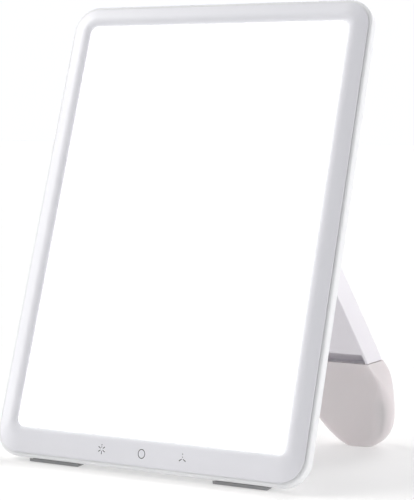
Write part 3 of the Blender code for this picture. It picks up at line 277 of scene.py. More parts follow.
def head_ring(bm, inset, depth, lower=0.0):
    """Edges of the head's outline, drawn in by an inset, at one depth; corners tighten inwards."""
    half = HALF_WIDTH - inset
    low = inset + lower
    high = HEAD_HEIGHT - inset
    radius = OUTER_CORNER - (OUTER_CORNER - WINDOW_CORNER) / SIDE_BEZEL * inset
    places = ((-half, low), (half, low), (half, high), (-half, high))
    corners = [bm.verts.new((x, depth, z)) for x, z in places]
    bm.faces.new(corners)
    bmesh.ops.bevel(bm, geom=corners, offset=radius, offset_type="OFFSET", affect="VERTICES",
                    segments=CORNER_STEPS, profile=0.5, material=-1)
    bm.faces.ensure_lookup_table()
    face = bm.faces[0]
    ring = list(face.edges)
    bmesh.ops.delete(bm, geom=[face], context="FACES_ONLY")
    return ring


def skin(bm, rings, closed=False):
    """Bridge a run of rings; an open run gets its two ends capped."""
    pairs = list(zip(rings, rings[1:]))
    if closed:
        pairs.append((rings[-1], rings[0]))
    for first, second in pairs:
        bmesh.ops.bridge_loops(bm, edges=first + second)
    if not closed:
        for ring in (rings[0], rings[-1]):
            bmesh.ops.contextual_create(bm, geom=ring)


def drum(bm, start, end, radius):
    """A round bar between two points."""
    start = Vector(start)
    run = Vector(end) - start
    turn = run.to_track_quat("Z", "Y").to_matrix().to_4x4()
    bmesh.ops.create_cone(bm, cap_ends=True, segments=ROUND_STEPS, radius1=radius, radius2=radius,
                          depth=run.length, matrix=Matrix.Translation(start + run / 2) @ turn)


def bar(bm, x, z, start, end, radius):
    """A round bar that runs along the depth."""
    drum(bm, (x, start, z), (x, end, z), radius)


def soften(bm, edges, size, steps=SOFT_STEPS):
    """Round a set of edges."""
    bmesh.ops.bevel(bm, geom=edges, offset=size, offset_type="OFFSET", affect="EDGES", segments=steps,
                    profile=0.5, clamp_overlap=True, material=-1)


def block(bm, low, high):
    """A box between two corners."""
    low = Vector(low)
    size = Vector(high) - low
    place = Matrix.Translation(low + size / 2) @ Matrix.Diagonal((*size, 1))
    bmesh.ops.create_cube(bm, size=1, matrix=place)


def lathe(bm, profile, centre, axis, steps=ROUND_STEPS):
    """A profile of (radius, reach) points spun about an axis through a centre."""
    centre = Vector(centre)
    axis = Vector(axis)
    side = axis.orthogonal().normalized()
    verts = [bm.verts.new(centre + side * radius + axis * reach) for radius, reach in profile]
    edges = [bm.edges.new(pair) for pair in zip(verts, verts[1:])]
    bmesh.ops.spin(bm, geom=verts + edges, cent=centre, axis=axis, angle=2 * math.pi, steps=steps,
                   use_merge=True)


def prism(bm, outline, ends, edge=0.0):
    """A side view of (y, z) points carried across, between ends(z), with rounded rims if asked."""
    face = bm.faces.new([bm.verts.new((0, y, z)) for y, z in outline])
    pulled = bmesh.ops.extrude_face_region(bm, geom=[face], use_keep_orig=True)["geom"]
    far = [item for item in pulled if isinstance(item, bmesh.types.BMVert)]
    for vertex in face.verts:
        vertex.co.x = ends(vertex.co.z)[0]
    for vertex in far:
        vertex.co.x = ends(vertex.co.z)[1]
    bmesh.ops.recalc_face_normals(bm, faces=bm.faces)
    if edge:
        rims = set(face.edges)
        for item in pulled:
            if isinstance(item, bmesh.types.BMFace):
                rims.update(item.edges)
        soften(bm, list(rims), edge)


def flared(inset):
    """Ends that follow the stand's flare, drawn in by an inset."""
    return lambda z: (inset - half_at(z), half_at(z) - inset)


def half_at(z):
    """Half the stand's width at a height along it."""
    return AXIS_HALF_WIDTH - z * math.tan(FLARE)


def seam_at(y):
    """Height along the stand at which a level plane through the seam meets a depth."""
    return -SEAM_DISTANCE - y * math.tan(TILT)


def solid(name, bm, axes):
    """An object from a bmesh that was modelled in a body's own axes."""
    bmesh.ops.remove_doubles(bm, verts=bm.verts, dist=WELD)
    bmesh.ops.transform(bm, matrix=axes, verts=bm.verts)
    bmesh.ops.recalc_face_normals(bm, faces=bm.faces)
    mesh = bpy.data.meshes.new(name)
    bm.to_mesh(mesh)
    bm.free()
    made = bpy.data.objects.new(name, mesh)
    bpy.context.scene.collection.objects.link(made)
    return made


def carve(piece, operation, *helpers):
    """Cut helper solids out of a piece, or join them to it, and drop the helpers."""
    for helper in helpers:
        step = piece.modifiers.new(helper.name, "BOOLEAN")
        step.operation = operation
        step.solver = "EXACT"
        step.object = helper
    graph = bpy.context.evaluated_depsgraph_get()
    carved = bpy.data.meshes.new_from_object(piece.evaluated_get(graph))
    piece.modifiers.clear()
    piece.data = carved
    for helper in helpers:
        bpy.data.objects.remove(helper)


def dress(piece, body, look, slot, *nodes):
    """Give a finished piece its shading, material, body and the CAD nodes it stands for."""
    piece.data.shade_smooth()
    piece.data.set_sharp_from_angle(angle=SHARP_ANGLE)
    piece.data.materials.clear()
    piece.data.materials.append(look)
    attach(piece, body)
    if nodes:
        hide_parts(*nodes)
    return piece


def screw_places(prefix, axes):
    """Each screw of one kind and where it sits in a body's own axes."""
    names = sorted(name for name in frame["nodes"] if name.startswith(prefix))
    return [(name, middle(name, axes)) for name in names]


def screw_seat(bm, x, z, start, seat, face):
    """A cutter for one screw: its hole, the sunk seat of its head and a small chamfer at the face."""
    wide = SCREW_HEAD_RADIUS + SEAT_GAP
    profile = ((0, start), (HOLE_RADIUS, start), (HOLE_RADIUS, seat), (wide, seat),
               (wide, face - SEAT_CHAMFER), (wide + SEAT_CHAMFER, face),
               (wide + SEAT_CHAMFER, face + OVERRUN), (0, face + OVERRUN))
    lathe(bm, profile, (x, 0, z), (0, 1, 0))


def ear_spans():
    """Left and right end of each hinge ear, across the head."""
    flat = HEAD.inverted()
    points = [flat @ vertex.co for vertex in frame["nodes"]["hinge_bracket"].data.vertices]
    ends = [point.x for point in points if point.x > 0 and point.y > HEAD_THICKNESS]
    return ((-max(ends), -min(ends)), (min(ends), max(ends)))


def bezel_depth(inset):
    """Depth of the bezel's face: a straight slope from the crease, then a shoulder up to the crest."""
    from_crest = WINDOW_CREST - inset
    shoulder = BEZEL_RUN - BEZEL_FLAT
    if from_crest > shoulder:
        return BEZEL_FALL * (from_crest - shoulder / 2)
    return BEZEL_FALL * from_crest ** 2 / (2 * shoulder)


def front_bezel(look):
    """The front frame: flange, crisp crease, sloped face, rounded shoulder, window edge and tongue."""
    wider = (BOTTOM_BEZEL - SIDE_BEZEL) / BEZEL_RUN
    shoulder = BEZEL_RUN - BEZEL_FLAT
    section = [(CREASE_INSET, CREASE_DEPTH + FLANGE), (CREASE_INSET, CREASE_DEPTH)]
    for step in range(SHOULDER_STEPS + 1):
        inset = WINDOW_CREST - shoulder * (1 - step / SHOULDER_STEPS)
        section.append((inset, bezel_depth(inset)))
    for step in range(1, SHOULDER_STEPS + 1):
        angle = math.pi / 2 * step / SHOULDER_STEPS
        section.append((WINDOW_CREST + WINDOW_BEVEL * math.sin(angle), WINDOW_STEP * (1 - math.cos(angle))))
    section.append((SIDE_BEZEL, LIP_BACK))
    bm = bmesh.new()
    rings = [head_ring(bm, inset, depth, wider * min(inset - CREASE_INSET, BEZEL_RUN))
             for inset, depth in section]
    for inset, depth in ((TONGUE_INNER, LIP_BACK + DRAFT), (TONGUE_INNER, TONGUE_END - DRAFT),
                         (TONGUE_OUTER, TONGUE_END), (TONGUE_OUTER, CREASE_DEPTH + FLANGE + DRAFT)):
        rings.append(head_ring(bm, inset, depth))
    skin(bm, rings, closed=True)
    soften(bm, rings[1], CREASE_ROUND)
    piece = solid("front_bezel", bm, HEAD)
    bosses = bmesh.new()
    holes = bmesh.new()
    for _, place in screw_places("back_screw", HEAD):
        bar(bosses, place.x, place.z, LIP_BACK - SEAT_GAP, BOSS_JOINT_DEPTH, BOSS_RADIUS)
        bar(holes, place.x, place.z, LIP_BACK + REST_RADIUS, BOSS_JOINT_DEPTH + OVERRUN, HOLE_RADIUS)
    for side in (-1, 1):
        bar(bosses, side * REST_SIDE, KEY_HEIGHT, LIP_BACK - SEAT_GAP, REST_DEPTH, REST_RADIUS)
    carve(piece, "UNION", solid("bezel_bosses", bosses, HEAD))
    carve(piece, "DIFFERENCE", solid("bezel_holes", holes, HEAD))
    return dress(piece, "head", look, "white_plastic", "front_frame")


def rear_housing(look):
    """The back shell: bulged side, rounded back edge, flat back with screw seats, slots and socket hole."""
    bm = bmesh.new()
    rings = []
    for step in range(EDGE_STEPS + 1):
        angle = math.pi / 2 * step / EDGE_STEPS
        rings.append(head_ring(bm, BACK_EDGE_RADIUS * (1 - math.sin(angle)),
                               HEAD_THICKNESS - BACK_EDGE_RADIUS * (1 - math.cos(angle))))
    for step in range(EDGE_STEPS + 1):
        angle = math.pi / 2 * step / EDGE_STEPS
        out, down = [turn(angle) ** (2 / BULGE_POWER) for turn in (math.cos, math.sin)]
        rings.append(head_ring(bm, CREASE_INSET * (1 - out), RIM_DEPTH + BULGE_LENGTH * (1 - down)))
    rings.append(head_ring(bm, RIM_INNER, RIM_DEPTH + DRAFT))
    for step in range(EDGE_STEPS // 2 + 1):
        angle = math.pi * step / EDGE_STEPS
        rings.append(head_ring(bm, RIM_INNER + INNER_FILLET * (1 - math.cos(angle)),
                               FLOOR_DEPTH - INNER_FILLET * (1 - math.sin(angle))))
    skin(bm, rings)
    piece = solid("rear_housing", bm, HEAD)

    posts = bmesh.new()
    for _, place in screw_places("back_screw", HEAD):
        bar(posts, place.x, place.z, BOSS_JOINT_DEPTH + SEAT_GAP, FLOOR_DEPTH + SEAT_GAP, BOSS_RADIUS)
    for _, place in screw_places("board_screw", HEAD):
        bar(posts, place.x, place.z, BOARD_BACK + SEAT_GAP, FLOOR_DEPTH + SEAT_GAP, BOSS_RADIUS)
    plate_back = span("backing_plate", HEAD)[1].y
    for x, z in ((side * POST_SIDE, height) for side in (-1, 1) for height in (POST_LOW, POST_HIGH)):
        bar(posts, x, z, plate_back + SEAT_GAP, FLOOR_DEPTH + SEAT_GAP, POST_RADIUS)
    carve(piece, "UNION", solid("housing_posts", posts, HEAD))

    cuts = bmesh.new()
    for name, place in screw_places("back_screw", HEAD) + screw_places("bracket_screw", HEAD):
        seat = span(name, HEAD)[1].y - SCREW_HEAD_LENGTH - SEAT_GAP
        screw_seat(cuts, place.x, place.z, BOSS_JOINT_DEPTH - OVERRUN, seat, HEAD_THICKNESS)
    for low, high in ear_spans():
        block(cuts, (low - EAR_CLEARANCE, FLOOR_DEPTH - OVERRUN, HINGE_HEIGHT - NECK_HALF - EAR_CLEARANCE),
              (high + EAR_CLEARANCE, HEAD_THICKNESS + OVERRUN, HINGE_HEIGHT + NECK_HALF + EAR_CLEARANCE))
    socket = middle("power_socket", HEAD)
    socket_face = span("power_socket", HEAD)[0].x
    drum(cuts, (-HALF_WIDTH - OVERRUN, socket.y, socket.z), (socket_face + OVERRUN, socket.y, socket.z),
         MOUTH_OPENING)
    carve(piece, "DIFFERENCE", solid("housing_cuts", cuts, HEAD))
    return dress(piece, "head", look, "white_back_plastic", "back_housing")


def base_pad(node, look):
    """A rubber pad that hugs the rounded lower back edge and is cut flat on the floor."""
    low, high = span(node, HEAD)
    centre = Vector((0, HEAD_THICKNESS - BACK_EDGE_RADIUS, BACK_EDGE_RADIUS))
    down = HEAD.to_3x3().inverted() @ Vector((0, 0, -1))
    along = HEAD.to_3x3().inverted() @ Vector((0, 1, 0))
    hug = BACK_EDGE_RADIUS + SEAT_GAP
    swing = math.asin(PAD_HALF_DEPTH / hug)
    outline = []
    for step in range(EDGE_STEPS + 1):
        angle = swing * (2 * step / EDGE_STEPS - 1)
        outline.append(centre + hug * (down * math.cos(angle) + along * math.sin(angle)))
    for side in (1, -1):
        outline.append(centre + down * PAD_REACH + along * side * (PAD_HALF_DEPTH - SEAT_GAP))
    bm = bmesh.new()
    prism(bm, [(point.y, point.z) for point in outline], lambda z: (low.x, high.x), PAD_EDGE)
    return dress(solid("rubber_" + node, bm, HEAD), "head", look, "pad_rubber", node)


def socket(look):
    """The power socket behind the left side: a block with a round mouth and a centre pin."""
    low, high = span("power_socket", HEAD)
    face = (low.x, (low.y + high.y) / 2, (low.z + high.z) / 2)
    bm = bmesh.new()
    block(bm, low, high)
    soften(bm, list(bm.edges), SOCKET_EDGE, SOCKET_SOFT_STEPS)
    piece = solid("barrel_socket", bm, HEAD)
    mouth = bmesh.new()
    lathe(mouth, ((0, -OVERRUN), (MOUTH_RADIUS + 2 * SEAT_CHAMFER, -OVERRUN), (MOUTH_RADIUS, SEAT_CHAMFER),
                  (MOUTH_RADIUS, MOUTH_DEPTH), (0, MOUTH_DEPTH)), face, (1, 0, 0))
    carve(piece, "DIFFERENCE", solid("socket_mouth", mouth, HEAD))
    pin = bmesh.new()
    lathe(pin, ((0, MOUTH_PIN_RADIUS), (MOUTH_PIN_RADIUS * PIN_TIP_SHARE, MOUTH_PIN_RADIUS * PIN_START_SHARE),
                (MOUTH_PIN_RADIUS, MOUTH_PIN_RADIUS * PIN_SHOULDER_SHARE),
                (MOUTH_PIN_RADIUS, MOUTH_DEPTH + OVERRUN), (0, MOUTH_DEPTH + OVERRUN)), face, (1, 0, 0))
    carve(piece, "UNION", solid("socket_pin", pin, HEAD))
    return dress(piece, "head", look, "black_plastic", "power_socket")


def screw(node, axes, body, look, outward=True):
    """A pan-head screw with a domed head and a cross recess."""
    low, high = span(node, axes)
    away = 1 if outward else -1
    seat = (high.y if outward else low.y) - away * SCREW_HEAD_LENGTH
    place = Vector(((low.x + high.x) / 2, seat, (low.z + high.z) / 2))
    tip = abs((low.y if outward else high.y) - seat)
    profile = [(0, -away * tip), (SHANK_RADIUS * SCREW_TIP_SHARE, -away * tip),
               (SHANK_RADIUS, -away * (tip - SHANK_RADIUS)), (SHANK_RADIUS, 0), (SCREW_HEAD_RADIUS, 0),
               (SCREW_HEAD_RADIUS, away * SCREW_HEAD_LENGTH * SCREW_RIM_SHARE)]
    for step in range(1, DOME_STEPS + 1):
        angle = math.pi / 2 * step / DOME_STEPS
        rise = SCREW_RIM_SHARE + (1 - SCREW_RIM_SHARE) * math.sin(angle)
        profile.append((SCREW_HEAD_RADIUS * (1 - SCREW_DOME_SHARE * (1 - math.cos(angle))),
                        away * SCREW_HEAD_LENGTH * rise))
    profile.append((0, away * SCREW_HEAD_LENGTH))
    bm = bmesh.new()
    lathe(bm, profile, place, (0, 1, 0), ROUND_STEPS // 2)
    piece = solid("cross_" + node, bm, axes)
    top = place.y + away * SCREW_HEAD_LENGTH
    recess = bmesh.new()
    arm = CROSS_LENGTH / 2
    half = CROSS_WIDTH / 2
    plus = ((half, half), (half, arm), (-half, arm), (-half, half), (-arm, half), (-arm, -half),
            (-half, -half), (-half, -arm), (half, -arm), (half, -half), (arm, -half), (arm, half))
    outline = [recess.verts.new((place.x + x, top + away * OVERRUN, place.z + z)) for x, z in plus]
    face = recess.faces.new(outline)
    pulled = bmesh.ops.extrude_face_region(recess, geom=[face], use_keep_orig=True)["geom"]
    deep = [item for item in pulled if isinstance(item, bmesh.types.BMVert)]
    bmesh.ops.translate(recess, verts=deep, vec=(0, -away * (OVERRUN + CROSS_DEPTH), 0))
    bmesh.ops.scale(recess, verts=deep, vec=(CROSS_TAPER_SHARE, 1, CROSS_TAPER_SHARE),
                    space=Matrix.Translation((-place.x, 0, -place.z)))
    carve(piece, "DIFFERENCE", solid("screw_recess", recess, axes))
    return dress(piece, body, look, "steel", node)


def bracket(look):
    """The hinge bracket: a plate inside the housing with two rounded ears that reach out of its back."""
    low, high = span("hinge_bracket", HEAD)
    plate_back = FLOOR_DEPTH - SEAT_GAP
    plate_middle = (low.y + plate_back) / 2
    bm = bmesh.new()
    block(bm, low, (high.x, plate_back, high.z))
    piece = solid("ear_bracket", bm, HEAD)
    meet = math.asin(NECK_HALF / EAR_RADIUS)
    outline = [(plate_middle, HINGE_HEIGHT - NECK_HALF)]
    for step in range(ROUND_STEPS + 1):
        angle = -math.pi + meet + (2 * math.pi - 2 * meet) * step / ROUND_STEPS
        outline.append((HINGE_DEPTH + EAR_RADIUS * math.cos(angle),
                        HINGE_HEIGHT + EAR_RADIUS * math.sin(angle)))
    outline.append((plate_middle, HINGE_HEIGHT + NECK_HALF))
    bores = bmesh.new()
    for inner, outer in ear_spans():
        ear = bmesh.new()
        prism(ear, outline, lambda z: (inner, outer), EAR_ROUND)
        carve(piece, "UNION", solid("bracket_ear", ear, HEAD))
        drum(bores, (inner - OVERRUN, HINGE_DEPTH, HINGE_HEIGHT),
             (outer + OVERRUN, HINGE_DEPTH, HINGE_HEIGHT), BORE_RADIUS)
    for _, place in screw_places("bracket_screw", HEAD):
        bar(bores, place.x, place.z, low.y - OVERRUN, plate_back + OVERRUN, HOLE_RADIUS)
    carve(piece, "DIFFERENCE", solid("bracket_bores", bores, HEAD))
    return dress(piece, "head", look, "hinge_plastic", "hinge_bracket")


def smooth_run(knots):
    """Points along a smooth curve through the knots."""
    padded = [2 * knots[0] - knots[1]] + knots + [2 * knots[-1] - knots[-2]]
    points = []
    for index in range(1, len(padded) - 2):
        before, start, end, after = padded[index - 1:index + 3]
        for step in range(OUTLINE_STEPS):
            t = step / OUTLINE_STEPS
            bend = 2 * before - 5 * start + 4 * end - after
            twist = 3 * start - before - 3 * end + after
            points.append(start + ((end - before) * t + bend * t ** 2 + twist * t ** 3) / 2)
    points.append(knots[-1])
    return points


def boot_line():
    """Right half of the boot's outline, from above the seam round the foot to the middle of the arch."""
    top = -SEAM_DISTANCE + HALF_STAND
    knots = [Vector((half_at(top), 0, top)), Vector((half_at(-SEAM_DISTANCE), 0, -SEAM_DISTANCE))]
    drop = STAND_LENGTH - SEAM_DISTANCE
    for across, down in BOOT_OUTLINE_SHARES:
        knots.append(Vector((across * FOOT_HALF_WIDTH, 0, -SEAM_DISTANCE - down * drop)))
    return smooth_run(knots)


def inward(line, index):
    """Direction into the boot, square to its outline."""
    if index == len(line) - 1:
        return Vector((0, 0, 1))
    ahead = line[index + 1] - line[max(index - 1, 0)]
    return Vector((ahead.z, 0, -ahead.x)).normalized()


def boot_ring(bm, insets, depths, top):
    """Edges of the boot's whole outline, drawn in and set back point by point and cut level at the top."""
    line = boot_line()
    right = []
    for index, point in enumerate(line):
        moved = point + inward(line, index) * insets[index]
        moved.y = depths[index]
        if moved.z > top:
            kept = moved
            continue
        if not right and index:
            right.append(moved.lerp(kept, (top - moved.z) / (kept.z - moved.z)))
        right.append(moved)
    left = [Vector((-point.x, point.y, point.z)) for point in reversed(right[:-1])]
    verts = [bm.verts.new(point) for point in right + left]
    return [bm.edges.new(pair) for pair in zip(verts, verts[1:] + verts[:1])]


def boot(look):
    """The soft boot over the foot: a crisp level rim that swells into a full round foot."""
    line = boot_line()
    fillets = []
    stretch = []
    for point in line:
        share = (-SEAM_DISTANCE - point.z) / (STAND_LENGTH - SEAM_DISTANCE) / BOOT_SWELL_SHARE
        share = min(max(share, 0), 1)
        share = share * share * (3 - 2 * share)
        outer = (point.x / FOOT_HALF_WIDTH - BOOT_OUTER_SHARE) / (1 - BOOT_OUTER_SHARE)
        outer = min(max(outer, 0), 1)
        foot_fillet = BOOT_FOOT_FILLET * (BOOT_SOLE_SHARE + (1 - BOOT_SOLE_SHARE) * outer)
        fillets.append(BOOT_RIM_FILLET + (foot_fillet - BOOT_RIM_FILLET) * share)
        stretch.append(1 + BOOT_SIDE_STRETCH * share * outer)
    top = line[0].z
    bm = bmesh.new()
    rings = []
    for side, steps in ((-1, range(EDGE_STEPS, -1, -1)), (1, range(EDGE_STEPS + 1))):
        for step in steps:
            angle = math.pi / 2 * step / EDGE_STEPS
            insets = [radius * wide * (1 - math.cos(angle)) for radius, wide in zip(fillets, stretch)]
            depths = [side * (HALF_STAND - radius * (1 - math.sin(angle))) for radius in fillets]
            rings.append(boot_ring(bm, insets, depths, top))
    skin(bm, rings)
    piece = solid("foot_boot", bm, STAND)
    pocket = bmesh.new()
    face = HALF_STAND - BOOT_FACE_WALL + SEAT_GAP
    plain = [BOOT_SIDE_WALL - SEAT_GAP] * len(line)
    skin(pocket, [boot_ring(pocket, plain, [side * face] * len(line), top) for side in (-1, 1)])
    carve(piece, "DIFFERENCE", solid("boot_pocket", pocket, STAND))
    wide = HALF_STAND + OVERRUN
    above = 2 * HALF_STAND - SEAM_DISTANCE
    reach = FOOT_HALF_WIDTH + OVERRUN
    rim = bmesh.new()
    prism(rim, ((-wide, seam_at(-wide) - SEAT_GAP), (wide, seam_at(wide) - SEAT_GAP), (wide, above),
                (-wide, above)), lambda z: (-reach, reach))
    carve(piece, "DIFFERENCE", solid("boot_rim_cut", rim, STAND))
    sole = bmesh.new()
    lift = STAND.translation.z
    front, back = [-(lift + y * math.sin(TILT)) / math.cos(TILT) for y in (-SOLE_OVERHANG, SOLE_OVERHANG)]
    prism(sole, ((-SOLE_OVERHANG, front), (SOLE_OVERHANG, back), (SOLE_OVERHANG, back - SOLE_OVERHANG),
                 (-SOLE_OVERHANG, front - SOLE_OVERHANG)), lambda z: (-reach, reach))
    carve(piece, "DIFFERENCE", solid("boot_sole_cut", sole, STAND))
    return dress(piece, "stand", look, "boot_silicone", "stand_boot")


def barrel_profile():
    """Side view of the stand: a full-round top with a flat heel that stops it when open."""
    normal = Vector((-math.cos(OPEN_ANGLE), math.sin(OPEN_ANGLE)))
    along = Vector((math.sin(OPEN_ANGLE), math.cos(OPEN_ANGLE)))
    points = [(-HALF_STAND, seam_at(-HALF_STAND))]
    for step in range(EDGE_STEPS + 1):
        angle = OPEN_ANGLE * step / EDGE_STEPS
        points.append((-HALF_STAND * math.cos(angle), HALF_STAND * math.sin(angle)))
    points += [tuple(normal * (HALF_STAND + HEEL_GAP) + along * reach) for reach in (HEEL_START, HEEL_LENGTH)]
    first = OPEN_ANGLE + math.atan(HEEL_LENGTH / HALF_STAND) * HEEL_EASE_SHARE
    for step in range(ROUND_STEPS // 2 + 1):
        angle = first + (math.pi - first) * step / (ROUND_STEPS // 2)
        points.append((-HALF_STAND * math.cos(angle), HALF_STAND * math.sin(angle)))
    points.append((HALF_STAND, seam_at(HALF_STAND)))
    return points


def shell(look):
    """The stand's hollow body: round barrel with ear notches, flared flap, shadow groove and boot tongue."""
    bm = bmesh.new()
    prism(bm, barrel_profile(), flared(0), SHELL_EDGE)
    piece = solid("flap_shell", bm, STAND)
    line = boot_line()
    face = HALF_STAND - BOOT_FACE_WALL
    tongue = bmesh.new()
    plain = [BOOT_SIDE_WALL] * len(line)
    above = HALF_STAND / 2 - SEAM_DISTANCE
    skin(tongue, [boot_ring(tongue, plain, [side * face] * len(line), above) for side in (-1, 1)])
    carve(piece, "UNION", solid("shell_tongue", tongue, STAND))

    back = HALF_STAND + OVERRUN
    front = SHELL_WALL - HALF_STAND
    roof = (GROOVE_HEIGHT + SHELL_WALL) / math.cos(TILT)
    hollow = bmesh.new()
    prism(hollow, ((front, -BARREL_DEPTH), (front, seam_at(front) + roof), (back, seam_at(back) + roof),
                   (back, -BARREL_DEPTH)), flared(SHELL_WALL))
    low_front = GROOVE_DEPTH - HALF_STAND + SHELL_WALL
    low_hollow = bmesh.new()
    prism(low_hollow, ((low_front, seam_at(low_front) + roof + OVERRUN),
                       (low_front, seam_at(low_front) + SHELL_WALL), (back, seam_at(back) + SHELL_WALL),
                       (back, seam_at(back) + roof + OVERRUN)), flared(SHELL_WALL))
    groove = bmesh.new()
    mouth = -HALF_STAND - OVERRUN
    deep = GROOVE_DEPTH - HALF_STAND
    rise = GROOVE_HEIGHT / math.cos(TILT)
    prism(groove, ((mouth, seam_at(mouth) - SEAT_GAP), (mouth, seam_at(mouth) + rise),
                   (deep, seam_at(deep) + rise), (deep, seam_at(deep) - SEAT_GAP)), flared(GROOVE_END_WALL))
    for name, cutter in (("shell_hollow", hollow), ("low_hollow", low_hollow), ("shadow_groove", groove)):
        carve(piece, "DIFFERENCE", solid(name, cutter, STAND))

    bosses = bmesh.new()
    holes = bmesh.new()
    for name, place in screw_places("cover_screw", STAND):
        low = span(name, STAND)[0].y
        bar(bosses, place.x, place.z, front - SEAT_GAP, HALF_STAND - COVER_THICKNESS - SEAT_GAP,
            COVER_BOSS_RADIUS)
        bar(holes, place.x, place.z, low - OVERRUN, HALF_STAND, HOLE_RADIUS)
    carve(piece, "UNION", solid("shell_bosses", bosses, STAND))
    cap = span("hinge_cap_right", STAND)
    pin = span("hinge_pin_right", STAND)
    seats = bmesh.new()
    for side, (inner, outer) in zip((-1, 1), ear_spans()):
        inner -= EAR_CLEARANCE if side < 0 else WASHER_THICKNESS + 2 * EAR_CLEARANCE
        outer += EAR_CLEARANCE if side > 0 else WASHER_THICKNESS + 2 * EAR_CLEARANCE
        block(holes, (inner, -2 * HALF_STAND, -EAR_RADIUS - NOTCH_RELIEF),
              (outer, 2 * HALF_STAND, 2 * HALF_STAND))
        pin_end = pin[0].x - SEAT_GAP
        cap_end = cap[0].x - SEAT_GAP
        outside = AXIS_HALF_WIDTH + CAP_RADIUS
        seat = ((0, pin_end), (BORE_RADIUS, pin_end), (BORE_RADIUS, cap_end),
                (CAP_RADIUS + SEAT_GAP, cap_end), (CAP_RADIUS + SEAT_GAP, outside), (0, outside))
        lathe(seats, seat, (0, 0, 0), (side, 0, 0))
    carve(piece, "DIFFERENCE", solid("shell_holes", holes, STAND))
    carve(piece, "DIFFERENCE", solid("shell_seats", seats, STAND))
    return dress(piece, "stand", look, "stand_white_plastic", "stand_shell")


def cover(look):
    """The back cover of the stand with its sunk screw seats."""
    inset = SHELL_WALL + SEAT_GAP
    top = -BARREL_DEPTH - SEAT_GAP
    front = HALF_STAND - COVER_THICKNESS
    bm = bmesh.new()
    prism(bm, ((front, top), (front, seam_at(front) + inset), (HALF_STAND, seam_at(HALF_STAND) + inset),
               (HALF_STAND, top)), flared(inset))
    rim = [edge for edge in bm.edges if all(abs(vertex.co.y - HALF_STAND) < WELD for vertex in edge.verts)]
    soften(bm, rim, COVER_EDGE)
    piece = solid("flap_cover", bm, STAND)
    seats = bmesh.new()
    for _, place in screw_places("cover_screw", STAND):
        screw_seat(seats, place.x, place.z, front - OVERRUN, HALF_STAND - COVER_RECESS, HALF_STAND)
    carve(piece, "DIFFERENCE", solid("cover_seats", seats, STAND))
    return dress(piece, "stand", look, "stand_white_plastic", "stand_cover")


def end_disc(node, body, look, slot, edge):
    """A round part on the hinge axis: an end cap, or a washer round the pin."""
    low, high = span(node, STAND)
    radius = high.z
    inner = BORE_RADIUS if node.startswith("friction") else 0
    profile = [(inner, low.x), (radius - edge, low.x), (radius, low.x + edge), (radius, high.x - edge)]
    for step in range(1, DOME_STEPS + 1):
        angle = math.pi / 2 * step / DOME_STEPS
        profile.append((radius - edge * (1 - math.cos(angle)), high.x - edge * (1 - math.sin(angle))))
    profile.append((inner, high.x))
    if inner:
        profile.append((inner, low.x))
    bm = bmesh.new()
    lathe(bm, profile, (0, 0, 0), (1, 0, 0))
    return dress(solid("round_" + node, bm, STAND), body, look, slot, node)


def printed_marks(look):
    """The three touch marks on the bottom bezel: open six-ray and three-ray stars round a plain ring."""
    bm = bmesh.new()

    def ray(centre, turn, start, end):
        """One stroke of a star, thinner at the heart."""
        along = Vector((math.cos(turn), math.sin(turn)))
        across = Vector((-along.y, along.x)) * RAY_STROKE / 2
        thin = across * RAY_TAPER_SHARE
        corners = [along * start - thin, along * end - across, along * end + across, along * start + thin]
        places = [(centre.x + point.x * MARK_ACROSS_SHARE, 0, centre.y + point.y) for point in corners]
        bm.faces.new([bm.verts.new(place) for place in places])

    sun = Vector((-KEY_SPACING, KEY_HEIGHT))
    for step in range(SUN_RAYS):
        ray(sun, math.pi * (0.5 + step * 2 / SUN_RAYS), SUN_HEART, MARK_RADIUS)
    clock = Vector((KEY_SPACING, KEY_HEIGHT))
    for step in range(CLOCK_RAYS):
        ray(clock, math.pi * (0.5 + step * 2 / CLOCK_RAYS), CLOCK_HEART, MARK_RADIUS)
    for step in range(ROUND_STEPS):
        rim = []
        for turn in (step, step + 1):
            angle = 2 * math.pi * turn / ROUND_STEPS
            rim.append([Vector((math.cos(angle), math.sin(angle))) * radius
                        for radius in (RING_RADIUS - MARK_STROKE, RING_RADIUS)])
        corners = (rim[0][0], rim[0][1], rim[1][1], rim[1][0])
        places = [(point.x * MARK_ACROSS_SHARE, 0, KEY_HEIGHT + point.y) for point in corners]
        bm.faces.new([bm.verts.new(place) for place in places])
    bmesh.ops.remove_doubles(bm, verts=bm.verts, dist=WELD)
    pulled = bmesh.ops.extrude_face_region(bm, geom=list(bm.faces), use_keep_orig=True)["geom"]
    raised = {item for item in pulled if isinstance(item, bmesh.types.BMVert)}
    wider = (BOTTOM_BEZEL - SIDE_BEZEL) / BEZEL_RUN
    for vertex in bm.verts:
        inset = (vertex.co.z + wider * CREASE_INSET) / (1 + wider)
        vertex.co.y = bezel_depth(inset) - (MARK_PROUD if vertex in raised else -MARK_PROUD)
    return dress(solid("touch_marks", bm, HEAD), "head", look, "white_plastic")


def node(tree, kind, **settings):
    """A shader node; settings with a capital letter go to its sockets, the rest to its properties."""
    made = tree.nodes.new(kind)
    for name, value in settings.items():
        if name[0].isupper():
            made.inputs[name.replace("_", " ")].default_value = value
        else:
            setattr(made, name, value)
    return made


